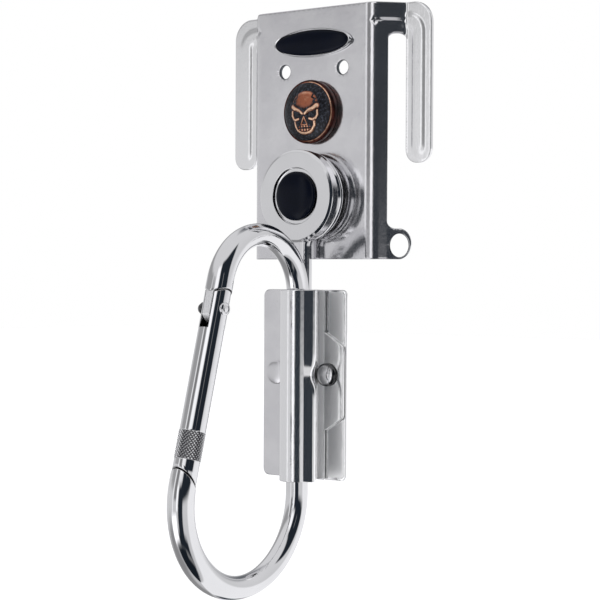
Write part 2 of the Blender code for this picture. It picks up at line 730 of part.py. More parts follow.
def make_carabiner_body(parent):
    """The pear-shaped wire, its nose cut on a slant and its other end a tongue."""
    frame = Matrix.Translation((SPINE_X, 0, SPINE_FROM_BELT))
    route, radii = pear_points()
    wire = tube("carabiner_body", [(0, up, out) for out, up in route], WIRE_R, WIRE_SIDES, HANGER, radii)
    body = curve_to_mesh(wire, WELD)
    body.data.transform(frame)
    gate = gate_frame()
    cut_nose(body, gate, above=True)
    room = GATE_TOP_R + GAP
    top_run = slab("shoulder_trim", ellipse((0, 0), room, room, ARC_STEP, ARC_STEP / 2),
                   -GATE_R - OVERRUN, GATE_R + OVERRUN, CUTTERS)
    sideways(top_run, gate)
    combine(body, top_run)
    tongue = slab("tongue", tongue_outline(), -TONGUE_T / 2, TONGUE_T / 2, CUTTERS)
    sideways(tongue, gate)
    combine(body, tongue, "UNION")
    hole = rod_cutter("tongue_hole", PIN_R + GAP, -GATE_R, GATE_R)
    sideways(hole, gate)
    combine(body, hole)
    place(body, FACING, STEEL, parent)


def make_pin(gate, parent):
    """The hinge pin over both cheeks of the fork: a low dome on the right, a round knob on the left."""
    seat = GATE_R + GAP
    cap, knob = ([(PIN_HEAD_R * math.sin(a), seat + height * math.cos(a)) for a in quarter(TIP_STEPS)]
                 + [(PIN_R, seat)] for height in (PIN_HEAD_H, PIN_KNOB_H))
    profile = cap + [(r, -z) for r, z in knob[::-1]]
    pin = turned("gate_pin", profile, PIN_SIDES, HANGER)
    place(pin, gate @ Matrix.Rotation(math.radians(90), 4, "Y"), STEEL, parent)


def make_gate(parent):
    """The gate bar: forked at its pivot, bored for its spring, with a raised grip band."""
    gate = gate_frame()
    band = GATE_R + KNURL_RAISE
    low = -GATE_NOSE - GATE_R
    bar = turned("gate_bar", [(0, GATE_TOP_R), (GATE_R, GATE_TOP_R), (GATE_R, -KNURL_START),
                              (band, -KNURL_START), (band, -KNURL_END), (GATE_R, -KNURL_END),
                              (GATE_R, low), (0, low)], PIN_SIDES, HANGER)
    upright = Matrix.Rotation(math.radians(-90), 4, "X")
    cut_nose(bar, gate, above=False)
    reach = GATE_R + OVERRUN
    crown = arc((0, 0), GATE_TOP_R, CROWN_LOW, math.pi - CROWN_LOW)
    crown_trim = slab("gate_crown_trim", crown + [(-reach - GATE_R, crown[-1][1]),
                                                 (-reach - GATE_R, GATE_TOP_R + reach),
                                                 (reach + GATE_R, GATE_TOP_R + reach),
                                                 (reach + GATE_R, crown[0][1])],
                      -reach, reach, CUTTERS)
    sideways(crown_trim, gate)
    combine(bar, crown_trim)
    slot = slab("fork_slot", [(-reach, -FORK_SLOT_BOTTOM), (reach, -FORK_SLOT_BOTTOM),
                              (reach, GATE_TOP_R + reach), (-reach, GATE_TOP_R + reach)],
                -FORK_SLOT_W / 2, FORK_SLOT_W / 2, CUTTERS)
    sideways(slot, gate)
    combine(bar, slot)
    bore = rod_cutter("spring_bore", SPRING_BORE_R, FORK_SLOT_BOTTOM - OVERRUN, SPRING_BORE_END)
    bore.matrix_world = gate @ Matrix.Rotation(math.radians(90), 4, "X")
    combine(bar, bore)
    hole = rod_cutter("gate_pin_hole", PIN_R + GAP, -reach, reach)
    sideways(hole, gate)
    combine(bar, hole)
    place(bar, gate @ upright, STEEL, parent)
    make_pin(gate, parent)


def make_plunger(gate, parent):
    """The plunger whose round tip follows the tongue's cam."""
    tip = -CAM_R - GAP
    centre = tip - PLUNGER_TIP_R
    cap = [(PLUNGER_TIP_R * math.sin(a), centre + PLUNGER_TIP_R * math.cos(a)) for a in quarter(TIP_STEPS)]
    low = -PLUNGER_HEAD_TOP - PLUNGER_HEAD_H
    profile = cap + [(PLUNGER_TIP_R, -PLUNGER_HEAD_TOP), (PLUNGER_HEAD_R, -PLUNGER_HEAD_TOP),
                     (PLUNGER_HEAD_R, low), (0, low)]
    plunger = turned("gate_plunger", profile, PIN_SIDES, HANGER)
    place(plunger, gate @ Matrix.Rotation(math.radians(-90), 4, "X"), BRASS, parent)


def make_spring(gate, parent):
    """A coil between the plunger and the bottom of its bore."""
    top = -PLUNGER_HEAD_TOP - PLUNGER_HEAD_H - GAP - SPRING_WIRE_R
    low = -SPRING_BORE_END + GAP + SPRING_WIRE_R
    count = SPRING_TURNS * SPRING_TURN_POINTS
    points = []
    for i in range(count + 1):
        angle = 2 * math.pi * i / SPRING_TURN_POINTS
        points.append((SPRING_R * math.cos(angle), top + (low - top) * i / count,
                       SPRING_R * math.sin(angle)))
    pitch = (top - low) / SPRING_TURNS
    least = (pitch - 2 * SPRING_WIRE_R) * MM_PER_M
    print("least gap between turns of the gate spring, mm:", round(least, 2))
    spring = curve_to_mesh(tube("gate_spring", points, SPRING_WIRE_R, SPRING_SIDES, HANGER), WELD)
    place(spring, gate, SPRING_STEEL, parent)


def build():
    """Make every piece, the fixed ones first and the moving ones on their axes."""
    make_belt_plate()
    make_badge()
    make_button()
    make_swivel()
    swing = add_axis("hanger_axis", FACING @ Matrix.Translation((0, 0, RING_OUT)))
    make_hanger(swing)
    make_clamp(swing)
    turn = add_axis("carabiner_axis", FACING @ Matrix.Translation((SPINE_X, TOP_ARC_Z, SPINE_FROM_BELT)),
                    swing)
    make_carabiner_body(turn)
    gate = gate_frame()
    gate_axis = add_axis("gate_axis", gate, turn)
    make_gate(gate_axis)
    make_plunger(gate, gate_axis)
    make_spring(gate, gate_axis)


clear_scene()
HANGER = new_collection("carabiner_hanger")
CUTTERS = new_collection("cutters")
STEEL = finish("polished_steel", (0.56, 0.56, 0.60), 1.0, 0.15)
SPRING_STEEL = finish("spring_steel", (0.45, 0.45, 0.47), 1.0, 0.30)
BLACK = finish("black_enamel", (0.01, 0.01, 0.012), 0.0, 0.08)
COPPER = finish("aged_copper", (0.30, 0.09, 0.05), 1.0, 0.35)
DARK_COPPER = finish("blackened_copper", (0.10, 0.05, 0.04), 1.0, 0.45)
BRASS = finish("brass", (0.70, 0.52, 0.25), 1.0, 0.30)
build()
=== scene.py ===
# %% [markdown]
# # A belt hanger with a swinging wire carabiner
#
# The real object is a folded plate of polished steel that slides on a belt. A round boss on it carries a
# wire hanger, and a riveted clamp on the hanger holds a pear-shaped carabiner by its spine. Nearly all
# of it is bright metal, so the shapes are judged by what they mirror. For that reason every visible
# piece is worked out here again as a smooth surface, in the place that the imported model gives.

import bmesh
import bpy
import numpy as np
from mathutils import Matrix
from mathutils.geometry import delaunay_2d_cdt


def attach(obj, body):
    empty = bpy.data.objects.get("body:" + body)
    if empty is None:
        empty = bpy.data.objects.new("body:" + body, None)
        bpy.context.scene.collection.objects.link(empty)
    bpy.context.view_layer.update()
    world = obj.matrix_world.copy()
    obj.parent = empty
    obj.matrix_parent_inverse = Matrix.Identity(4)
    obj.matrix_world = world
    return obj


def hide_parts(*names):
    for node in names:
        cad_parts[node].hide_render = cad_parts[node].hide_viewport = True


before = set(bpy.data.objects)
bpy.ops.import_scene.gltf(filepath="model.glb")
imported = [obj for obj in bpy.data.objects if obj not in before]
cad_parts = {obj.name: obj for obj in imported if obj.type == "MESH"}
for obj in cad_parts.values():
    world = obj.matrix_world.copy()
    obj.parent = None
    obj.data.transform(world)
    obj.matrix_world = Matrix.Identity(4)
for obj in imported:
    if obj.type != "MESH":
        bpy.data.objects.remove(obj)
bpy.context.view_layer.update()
MM = 0.001
print("nodes in the frame:", len(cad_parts))

# %% [markdown]
# ## How a piece becomes a mesh
#
# Each surface is first an array of points in rows and columns. The points are written as (across, up,
# out), in millimetres, with out measured from the belt towards the viewer, because that is how one would
# draw the hanger. One function turns them into metres in the frame, where out is minus Y and up is Z.
# A grid closes on itself where it has to, and rows that shrink to one point are merged into a pole.


# %% From arrays to pieces
def to_frame(points):
    """(across, up, out) in millimetres becomes (x, y, z) in metres: x = across, y = -out, z = up."""
    points = np.asarray(points, float)
    return np.stack([points[..., 0], -points[..., 2], points[..., 1]], -1) * MM


def grid_faces(rows, cols, close_rows=False, close_cols=True):
    """The four corners of each cell of a grid of rows by cols, as an array of quads."""
    i = np.arange(rows if close_rows else rows - 1)[:, None]
    j = np.arange(cols if close_cols else cols - 1)[None, :]
    near, far = i * cols, (i + 1) % rows * cols
    ahead = (j + 1) % cols
    return np.stack([near + j, near + ahead, far + ahead, far + j], -1).reshape(-1, 4)


def weld(mesh):
    """Merge doubled points, so that seams and poles close, and turn all faces outwards."""
    work = bmesh.new()
    work.from_mesh(mesh)
    bmesh.ops.remove_doubles(work, verts=work.verts, dist=2e-7)
    bmesh.ops.dissolve_degenerate(work, edges=work.edges, dist=1e-8)
    bmesh.ops.recalc_face_normals(work, faces=work.faces)
    work.to_mesh(mesh)
    work.free()


def piece(name, parts, body, material, stands_for=(), sharp=40, relief=None):
    """A mesh object of (points, faces) parts, smooth but for edges sharper than the angle."""
    clouds = [to_frame(points).reshape(-1, 3) for points, _ in parts]
    starts = np.cumsum([0] + [len(cloud) for cloud in clouds])
    faces = [face for (_, grid), start in zip(parts, starts) for face in (np.asarray(grid) + start).tolist()]
    mesh = bpy.data.meshes.new(name)
    mesh.from_pydata(np.concatenate(clouds).tolist(), [], faces)
    if relief is not None:
        mesh.attributes.new("relief", "FLOAT", "POINT").data.foreach_set("value", relief.ravel())
    weld(mesh)
    mesh.shade_smooth()
    mesh.set_sharp_from_angle(angle=np.radians(sharp))
    made = bpy.data.objects.new(name, mesh)
    bpy.context.scene.collection.objects.link(made)
    mesh.materials.append(material)
    even = made.modifiers.new("even_shading", "WEIGHTED_NORMAL")
    even.keep_sharp = True
    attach(made, body)
    if stands_for:
        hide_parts(*stands_for)
    print(name, len(mesh.polygons), "faces")


# %% [markdown]
# ## Lines with soft corners
#
# No real edge is perfectly sharp: a thin bright line along a rim is what tells the eye that it is metal.
# So every profile is a polyline whose corners are rounded by small arcs, and a rounded corner is worked
# out from its two sides: the arc touches both and has the radius that is asked for.


# %% Rounding a polyline and turning it
def soft(corners, radius, steps=4, closed=False):
    """Corners of a flat polyline, each replaced by an arc: centre = corner + bisector * r / sin(half)."""
    corners = np.asarray(corners, float)
    radii = np.broadcast_to(radius, len(corners))
    line = []
    for k, (here, r) in enumerate(zip(corners, radii)):
        if r == 0 or (not closed and k in (0, len(corners) - 1)):
            line.append(here[None])
            continue
        back, ahead = corners[k - 1] - here, corners[(k + 1) % len(corners)] - here
        back, ahead = back / np.linalg.norm(back), ahead / np.linalg.norm(ahead)
        half = np.arccos(np.clip(back @ ahead, -1, 1)) / 2
        centre = here + (back + ahead) / np.linalg.norm(back + ahead) * r / np.sin(half)
        first, last = here + back * r / np.tan(half) - centre, here + ahead * r / np.tan(half) - centre
        start = np.arctan2(first[1], first[0])
        sweep = (np.arctan2(last[1], last[0]) - start + np.pi) % (2 * np.pi) - np.pi
        angle = start + sweep * np.linspace(0, 1, max(2, round(steps * abs(sweep)) + 1))
        line.append(centre + r * np.stack([np.cos(angle), np.sin(angle)], -1))
    return np.concatenate(line)


def turned(profile, centre=(0, 0), sides=128, squash=1):
    """A (radius, out) profile about an axis that points out: across = r cos a, up = r sin a."""
    profile = np.asarray(profile, float)
    angle = 2 * np.pi * np.arange(sides) / sides
    r, out = profile[:, :1], np.repeat(profile[:, 1:], sides, 1)
    across, up = r * np.cos(angle), r * np.sin(angle) * squash
    points = np.stack([centre[0] + across, centre[1] + up, out], -1)
    return points, grid_faces(len(profile), sides)


# %% [markdown]
# ## Sums of light and dark on the metal
#
# The finishes are built from a few wrapped sockets. An expression such as 0.2 + 0.1 * grain adds its own
# Math nodes, so a material reads like the sum that it is.


# %% A small class for shader maths
class Sock:
    """A node's output that takes part in sums; each sum adds one Math node."""

    def __init__(self, shader, socket):
        self.shader, self.socket = shader, socket

    def join(self, kind, other, swap=False):
        pair = (other, self) if swap else (self, other)
        return self.shader.node("ShaderNodeMath", {"operation": kind}, {0: pair[0], 1: pair[1]})

    def __add__(self, other):
        return self.join("ADD", other)

    def __sub__(self, other):
        return self.join("SUBTRACT", other)

    def __rsub__(self, other):
        return self.join("SUBTRACT", other, swap=True)

    def __mul__(self, other):
        return self.join("MULTIPLY", other)

    __radd__, __rmul__ = __add__, __mul__


class Shader:
    """A node tree under construction, of a material or of the world."""

    def __init__(self, tree):
        self.tree = tree

    def maths(self, kind, *values):
        """One Math node of a kind that has no sign in Python."""
        return self.node("ShaderNodeMath", {"operation": kind}, dict(enumerate(values)))

    def node(self, kind, settings=None, inputs=None, out=0):
        """Add a node: settings first, then values or links into its sockets."""
        made = self.tree.nodes.new(kind)
        for key, value in (settings or {}).items():
            setattr(made, key, value)
        for key, value in (inputs or {}).items():
            if isinstance(value, Sock):
                self.tree.links.new(value.socket, made.inputs[key])
            elif value is not None:
                made.inputs[key].default_value = value
        return Sock(self, made.outputs[out])

    def place(self):
        """Where a point is on the piece, in metres in the frame."""
        return self.node("ShaderNodeTexCoord", out="Object")

    def noise(self, at, scale, detail=3.0, rough=0.5, stretch=(1, 1, 1)):
        """Cloudy noise from 0 to 1, drawn out along an axis by a small stretch."""
        at = self.node("ShaderNodeMapping", inputs={"Vector": at, "Scale": stretch})
        return self.node("ShaderNodeTexNoise", {"noise_dimensions": "3D"},
                         {"Vector": at, "Scale": scale, "Detail": detail, "Roughness": rough})

    def band(self, value, low, high, smooth=True):
        """0 below low, 1 above high, and a soft step between."""
        return self.node("ShaderNodeMapRange", {"interpolation_type": "SMOOTHSTEP" if smooth else "LINEAR"},
                         {"Value": value, "From Min": low, "From Max": high})

    def mix(self, share, first, second):
        """A colour between two colours."""
        return self.node("ShaderNodeMix", {"data_type": "RGBA"}, {0: share, 6: first, 7: second}, out=2)


def finish(name, slot, colour, metallic, rough, coat=0.0, bump=None, **more):
    """A Principled material; colour, rough and bump are values or functions of the shader."""
    made = bpy.data.materials.new(name)
    made.use_nodes = True
    made["slot"] = slot
    shader = Shader(made.node_tree)
    surface = made.node_tree.nodes["Principled BSDF"]
    given = {"Base Color": colour, "Metallic": metallic, "Roughness": rough, "Coat Weight": coat, **more}
    at = shader.place()
    for key, value in given.items():
        value = value(shader, at) if callable(value) else value
        if isinstance(value, Sock):
            made.node_tree.links.new(value.socket, surface.inputs[key])
        else:
            surface.inputs[key].default_value = value
    if bump:
        height, depth = bump(shader, at)
        bent = shader.node("ShaderNodeBump", inputs={"Strength": 1.0, "Distance": depth, "Height": height})
        made.node_tree.links.new(bent.socket, surface.inputs["Normal"])
    return made


# %% [markdown]
# ## The metals
#
# Polished sheet steel is not a perfect mirror. It has a fine grain from rolling, faint swirls from the
# buffing wheel, and wipe marks. Grain and swirls go into the bump, the marks into the roughness. Its arms
# are painted paler, as painted light. The clamp's cover is painted paler from the barrel on, palest on the
# tab and the back's right part, as painted light; the wall under its overhang is dull, where no wheel
# reaches. The round wire and the turned pieces are brighter and smoother, the tongue is only filed and the
# left rivet only buffed. Holes, slots, grooves, cut ends, a rivet's rim and a knob are painted dark, as
# painted shade: a number kept with the mesh says where.


# %% Steel of the plate, the clamp and the wire
def relief(shader):
    """A number kept with the mesh: above 0 the rubbed height on the ornament or painted shade, in a hole, a
    slot, a knurl groove, a cut end, a rivet's rim or a knob; below 0 a low place on the ornament or the
    ground side of the wire.
    """
    return shader.node("ShaderNodeAttribute", {"attribute_name": "relief"}, out="Fac")


def satin_colour(shader, at):
    """Pale steel with slow clouds and darker specks where the buffing missed. The arms are painted paler,
    as painted light, and the holes darker, as painted shade, where the relief is above 0.
    """
    cloud = shader.band(shader.noise(at, 55, 4, 0.6), 0.35, 0.7)
    speck = shader.band(shader.noise(at, 900, 2, 0.7), 0.66, 0.74)
    base = shader.mix(cloud, (0.70, 0.695, 0.715, 1), (0.78, 0.775, 0.79, 1))
    x = shader.node("ShaderNodeSeparateXYZ", inputs={0: at})
    # painted light: the arms are painted paler than the rest of the sheet
    base = shader.mix(shader.band(shader.maths("ABSOLUTE", x), 0.0325, 0.0355), base, (0.90, 0.90, 0.905, 1))
    base = shader.mix(speck * 0.35, base, (0.42, 0.43, 0.46, 1))
    return shader.mix(shader.band(relief(shader), 0.05, 0.5) * 0.9, base, (0.02, 0.03, 0.04, 1))


def satin_rough(shader, at):
    """Wipe marks and clouds: 0.10 plus up to 0.1 more."""
    marks = shader.noise(at, 140, 4, 0.65, (1, 1, 0.25))
    cloud = shader.noise(at, 30, 3, 0.5)
    return 0.10 + 0.10 * marks * cloud


def satin_bump(shader, at):
    """Rolling grain, long along the sheet, over the softer swirls of the buffing wheel."""
    grain = shader.noise(at, 1600, 2, 0.6, (1, 1, 0.3))
    buff = shader.noise(at, 260, 3, 0.6)
    return grain * 0.6 + buff, 0.000022


def cover_colour(shader, at):
    """The same steel, but painted paler from the barrel on, and palest right of the wall, on the tab and the
    back sheet's right part: painted light.
    """
    x = shader.node("ShaderNodeSeparateXYZ", inputs={0: at})
    # painted light: paler from the barrel on, palest right of the wall
    bright = shader.mix(shader.band(x, 0.0042, 0.0050), (0.86, 0.86, 0.87, 1), (0.985, 0.985, 0.985, 1))
    return shader.mix(shader.band(x, -0.0046, -0.0042), satin_colour(shader, at), bright)


def cover_rough(shader, at):
    """As on the sheet, but dull on the wall under the overhang, where no buffing wheel reaches."""
    x, y = (shader.node("ShaderNodeSeparateXYZ", inputs={0: at}, out=axis) for axis in "XY")
    beside, below = shader.band(x, 0.0042, 0.0046), shader.band(y, -0.0108, -0.0104)
    return satin_rough(shader, at) + 0.35 * (beside * below * shader.band(y, -0.0046, -0.0050))


SHEET_STEEL = finish("polished_sheet_steel", "polished_plate", satin_colour, 0.96, satin_rough,
                     bump=satin_bump)
COVER_STEEL = finish("polished_cover_steel", "polished_plate", cover_colour, 0.98, cover_rough,
                     bump=satin_bump)


def wire_rough(shader, at):
    """Bright, with a few duller streaks along the wire; dull where its side was ground for the tongue."""
    streak = shader.band(shader.noise(at, 120, 4, 0.6, (1, 1, 0.2)), 0.5, 0.8)
    return 0.045 + 0.09 * streak + 0.38 * shader.band(relief(shader), -0.2, -0.9)


def wire_colour(shader, at):
    """Bright steel with a faint tone change from the drawing die, paler where ground, black in shade."""
    base = shader.mix(shader.noise(at, 70, 3, 0.5), (0.74, 0.74, 0.75, 1), (0.84, 0.84, 0.85, 1))
    base = shader.mix(shader.band(relief(shader), -0.2, -0.9), base, (0.95, 0.95, 0.955, 1))
    shade = shader.band(relief(shader), 0.0, 1.0, smooth=False)
    return shader.mix(shade * 0.97, base, (0.004, 0.005, 0.008, 1))


def wire_bump(shader, at):
    """The very slight waviness of bent and buffed wire."""
    return shader.noise(at, 160, 2, 0.5), 0.00003


WIRE_STEEL = finish("polished_wire_steel", "polished_wire", wire_colour, 1.0, wire_rough, bump=wire_bump)
CHROME = finish("turned_bright_steel", "chrome", wire_colour, 1.0,
                lambda s, at: 0.06 + 0.06 * s.noise(at, 300, 3, 0.6),
                bump=lambda s, at: (s.noise(at, 500, 3, 0.6), 0.000006))
DULL_RIVET = finish("buffed_rivet_steel", "chrome", satin_colour, 0.96, 0.24, bump=satin_bump)
TONGUE_STEEL = finish("filed_tongue_steel", "polished_wire", (0.93, 0.93, 0.94, 1), 0.9,
                      lambda s, at: 0.42 + 0.2 * s.noise(at, 700, 3, 0.7),
                      bump=lambda s, at: (s.noise(at, 1400, 3, 0.7), 0.00005))
SPRING = finish("spring_steel", "spring_steel", lambda s, at: s.mix(
    s.noise(at, 800), (0.36, 0.36, 0.38, 1), (0.50, 0.50, 0.52, 1)), 1.0,
    lambda s, at: 0.25 + 0.15 * s.noise(at, 600), bump=lambda s, at: (s.noise(at, 1500), 0.00001))
# painted shade: the plunger's brass is painted almost black, as if in shade inside the gate
BRASS_IN_PAINTED_SHADE = finish("plunger_brass", "brass", lambda s, at: s.mix(
    s.noise(at, 500), (0.035, 0.028, 0.020, 1), (0.07, 0.055, 0.035, 1)), 1.0,
    lambda s, at: 0.22 + 0.15 * s.noise(at, 500), bump=lambda s, at: (s.noise(at, 1200), 0.00001))

# %% [markdown]
# ## Black enamel and old copper
#
# The oval badge and the middle of the boss are glossy black, like poured enamel: a dark body under a
# clear coat with faint ripples. The ornament is copper that was blackened and then rubbed, so it is
# black in the low places and copper on the high ones. How high a point lies is known when the surface is
# worked out, so it is kept with the mesh as an attribute, and the colour follows it.

# %% Enamel and copper
ENAMEL = finish("black_enamel", "black_enamel",
                lambda s, at: s.mix(s.noise(at, 200), (0.001, 0.002, 0.006, 1), (0.002, 0.004, 0.012, 1)),
                0.0, lambda s, at: 0.10 + 0.08 * s.noise(at, 350, 3, 0.6),
                bump=lambda s, at: (s.noise(at, 260, 2, 0.5), 0.00002), **{"Specular IOR Level": 0.11})


def aged_copper(shader, at):
    """Black in the low places, brown on the slopes, rubbed copper on top."""
    worn = relief(shader) + 0.7 * (shader.noise(at, 480, 4, 0.7) - 0.5)
    speck = shader.band(shader.noise(at, 1300, 3, 0.7), 0.45, 0.72)
    raised = shader.band(relief(shader), -0.30, -0.05)
    black = shader.mix(speck * raised, (0.005, 0.005, 0.008, 1), (0.070, 0.078, 0.105, 1))
    brown = shader.mix(shader.band(worn, 0.10, 0.66), black, (0.44, 0.14, 0.07, 1))
    return shader.mix(shader.band(worn, 0.60, 1.05), brown, (1.0, 0.66, 0.45, 1))


def copper_pits(shader, at):
    """A cast skin: fine grain with scattered round pits."""
    pit = shader.node("ShaderNodeTexVoronoi", {"feature": "F1"}, {"Vector": at, "Scale": 900.0})
    return shader.band(pit, 0.10, 0.28) + 0.7 * shader.noise(at, 1500, 3, 0.6), 0.00010


DARK_COPPER = finish("blackened_copper", "blackened_copper", aged_copper, 0.9,
                     lambda s, at: 0.42 - 0.16 * relief(s) + 0.10 * s.noise(at, 900), 0.35, copper_pits,
                     **{"Coat Roughness": 0.22})


def cup_colour(shader, at):
    """Dark red-brown copper with blacker clouds."""
    return shader.mix(shader.band(shader.noise(at, 260, 4, 0.6), 0.35, 0.65),
                      (0.016, 0.007, 0.008, 1), (0.12, 0.030, 0.022, 1))


COPPER = finish("aged_copper", "aged_copper", cup_colour, 0.9,
                lambda s, at: 0.28 + 0.15 * s.noise(at, 500), bump=lambda s, at: (s.noise(at, 1200), 0.00002))
print("materials:", len(bpy.data.materials))

# %% [markdown]
# ## The pear-shaped wire
#
# The carabiner is one piece of 8 mm wire: two arcs joined by two straight runs, the spine behind and the
# gate's line in front. Its middle line is a function of the distance along it, and a ring of points is
# carried along that line. At the nose the rings lean over until they lie in the slanted cut; at the
# shoulder they follow the round seat of the gate.

# %% Sizes of the carabiner
SPINE_X, SPINE_OUT, SPINE_TOP, SPINE_RUN = 1.6, 11.9, -36.1, 70.4
TOP_R, LOW_R, WIRE, THICK, GATE_R = 21.6, 31.0, 4.0, 4.7, 4.5
SLANT = 2 * np.arctan2(LOW_R - TOP_R, SPINE_RUN)
PIVOT, NOSE, NOSE_SLANT, NOSE_GAP = 10.2, 59.5, np.radians(39), 0.7
SEAT_R = 7.0
GATE_OUT = np.array([np.cos(SLANT), np.sin(SLANT)])
GATE_DOWN = np.array([np.sin(SLANT), -np.cos(SLANT)])
GATE_START = np.array([TOP_R, 0]) + TOP_R * GATE_OUT
NOSE_AT = PIVOT + NOSE + NOSE_GAP / 2
SEAT_AT = PIVOT - SEAT_R
TIP = NOSE_GAP / 2 - NOSE
SLOT_FLOOR, KNURL_TOP, KNURL_LOW = -7.4, -42.6, -52.6
RUNS = np.cumsum([0, SPINE_RUN - NOSE_AT, LOW_R * (np.pi + SLANT), SPINE_RUN, TOP_R * (np.pi - SLANT),
                  SEAT_AT])


def pear(s):
    """The middle line at distance s from the nose, and the direction away from the eye's middle."""
    s = np.asarray(s, float)
    low = SLANT - (s - RUNS[1]) / LOW_R
    top = np.pi - (s - RUNS[3]) / TOP_R
    low_mid, top_mid = np.array([LOW_R, -SPINE_RUN]), np.array([TOP_R, 0])
    low_out = np.stack([np.cos(low), np.sin(low)], -1)
    top_out = np.stack([np.cos(top), np.sin(top)], -1)
    straight = np.broadcast_to(GATE_OUT, low_out.shape)
    spine = np.broadcast_to([-1.0, 0.0], low_out.shape)
    zone = np.searchsorted(RUNS[1:-1], s)[..., None]
    places = [GATE_START + (NOSE_AT + s)[..., None] * GATE_DOWN, low_mid + LOW_R * low_out,
              np.stack([0 * s, -SPINE_RUN + s - RUNS[2]], -1), top_mid + TOP_R * top_out,
              GATE_START + (s - RUNS[4])[..., None] * GATE_DOWN]
    aways = [straight, low_out, spine, top_out, straight]
    return np.select([zone == k for k in range(5)], places), np.select([zone == k for k in range(5)], aways)


def ease(x):
    """A smooth step from 0 to 1."""
    x = np.clip(x, 0, 1)
    return x * x * (3 - 2 * x)


# %% The rings of the wire
def wire_rows():
    """For each ring: distance along, radius, and how much of each end's shape it takes."""
    edge, turn, swell = 0.3, np.linspace(0, np.pi / 2, 5), THICK
    end = [(0, r, 1) for r in np.linspace(0, 0.9, 6) * (swell - edge)]
    end += [(edge * (1 - np.cos(t)), swell - edge * (1 - np.sin(t)), 1) for t in turn]
    rows = [(s, r, w, 0) for s, r, w in end]
    middle = np.concatenate([np.linspace(edge, 12, 16)[1:], np.linspace(12, RUNS[4] - 2, 330)[1:],
                             np.linspace(RUNS[4] - 2, RUNS[5] - edge, 12)[1:-1]])
    swollen = np.maximum(1 - ease((middle - 30) / 38), ease((middle - RUNS[4] + 32) / 36))
    radius = WIRE + (swell - WIRE) * swollen
    at_nose, at_seat = np.clip(1 - middle / 9, 0, 1), np.clip((middle - RUNS[4] + 4) / 7, 0, 1)
    rows += list(zip(middle, radius, at_nose, at_seat))
    rows += [(RUNS[5] - s, r, 0, w) for s, r, w in end[::-1]]
    return np.array(rows)


def wire_surface(sides=64):
    """A ring carried along the pear: place = line(s + lean) + r cos(a) away + r sin(a) across."""
    s, r, nose, seat = (column[:, None] for column in wire_rows().T)
    angle = 2 * np.pi * np.arange(sides) / sides
    aside, across = r * np.cos(angle), r * np.sin(angle)
    lean = -np.tan(NOSE_SLANT) * aside * nose
    lean += (SEAT_R - np.sqrt(SEAT_R ** 2 - aside ** 2)) * seat
    line, away = pear(s + lean)
    flat = line + aside[..., None] * away
    points = np.stack([SPINE_X + across, SPINE_TOP + flat[..., 1], SPINE_OUT + flat[..., 0]], -1)
    return points, grid_faces(len(s), sides)


# %% [markdown]
# ## The tongue
#
# Inside the gate's fork the wire goes on as a flat tongue. Its outer edge is still the wire's own round
# surface and its lower end is a half round with a cam, which pushes the spring's plunger when the gate
# opens. It is a plate with a closed outline whose edge is rounded.


# %% The gate's own frame, and flat plates in it
def in_gate(points):
    """(across, along the gate, outwards) from the pivot becomes (across, up, out) on the hanger."""
    points = np.asarray(points, float)
    flat = (GATE_START + PIVOT * GATE_DOWN - points[..., 1:2] * GATE_DOWN + points[..., 2:3] * GATE_OUT)
    return np.stack([SPINE_X + points[..., 0], SPINE_TOP + flat[..., 1], SPINE_OUT + flat[..., 0]], -1)


def rim(outline, thickness, edge, steps=4):
    """A plate from a closed outline: the edge's section is a half round with a flat between."""
    outline = np.asarray(outline, float)
    ahead = np.roll(outline, -1, 0) - outline
    ahead /= np.linalg.norm(ahead, axis=1)[:, None]
    both = ahead + np.roll(ahead, 1, 0)
    inward = np.stack([-both[:, 1], both[:, 0]], -1)
    inward /= np.linalg.norm(inward, axis=1)[:, None]
    turn = np.linspace(0, np.pi / 2, steps)
    depth = np.concatenate([edge * (1 - np.sin(turn)), edge * (1 - np.cos(turn))])
    height = np.concatenate([thickness / 2 - edge * (1 - np.cos(turn)),
                             -thickness / 2 + edge * (1 - np.sin(turn))])
    return outline + inward * depth[:, None, None], height


def tongue_surface():
    """The tongue's outline in (outwards, along), closed by two flat sides."""
    angle = np.linspace(np.pi, 2 * np.pi, 40)
    share = np.clip((1.5 * np.pi - angle) / np.radians(25), 0, 1)
    radius = 5.2 + 1.0 * ease(share)
    low = np.stack([np.clip(radius * np.cos(angle), -3.6, 4.4), radius * np.sin(angle)], -1)
    outline = np.concatenate([low, [[4.4, 4.0], [4.4, 9.0], [-3.6, 9.0]]])
    loops, height = rim(outline, 3.4, 0.35)
    loops = np.concatenate([np.zeros_like(loops[:1]) + [0, 2.5], loops, np.zeros_like(loops[:1]) + [0, 2.5]])
    height = np.concatenate([height[:1], height, height[-1:]])
    across = np.broadcast_to(height[:, None], loops.shape[:2])
    points = in_gate(np.stack([across, loops[..., 1], loops[..., 0]], -1))
    return points, grid_faces(*loops.shape[:2])


# %% [markdown]
# ## The gate
#
# The gate is a round bar with a slot for the tongue at its top and a knurled band above its nose. The
# knurl is cut by two sets of grooves that wind round the bar in opposite ways, so the height of its
# skin is the lower of two ridged waves, and small pyramids are left. The slot leaves two cheeks, each
# with the section of a circle cut off by a straight line.


# %% The round bar with its knurl
def knurl(angle, along, turns=24, pitch=1.3):
    """Height of the pyramids, from 0 to 1: 1 - the larger of two saw waves that cross."""
    def wave(phase):
        return np.abs(2 * (phase - np.floor(phase + 0.5)))
    left = wave(turns * angle / (2 * np.pi) + along / pitch)
    right = wave(turns * angle / (2 * np.pi) - along / pitch)
    return 1 - np.maximum(left, right)


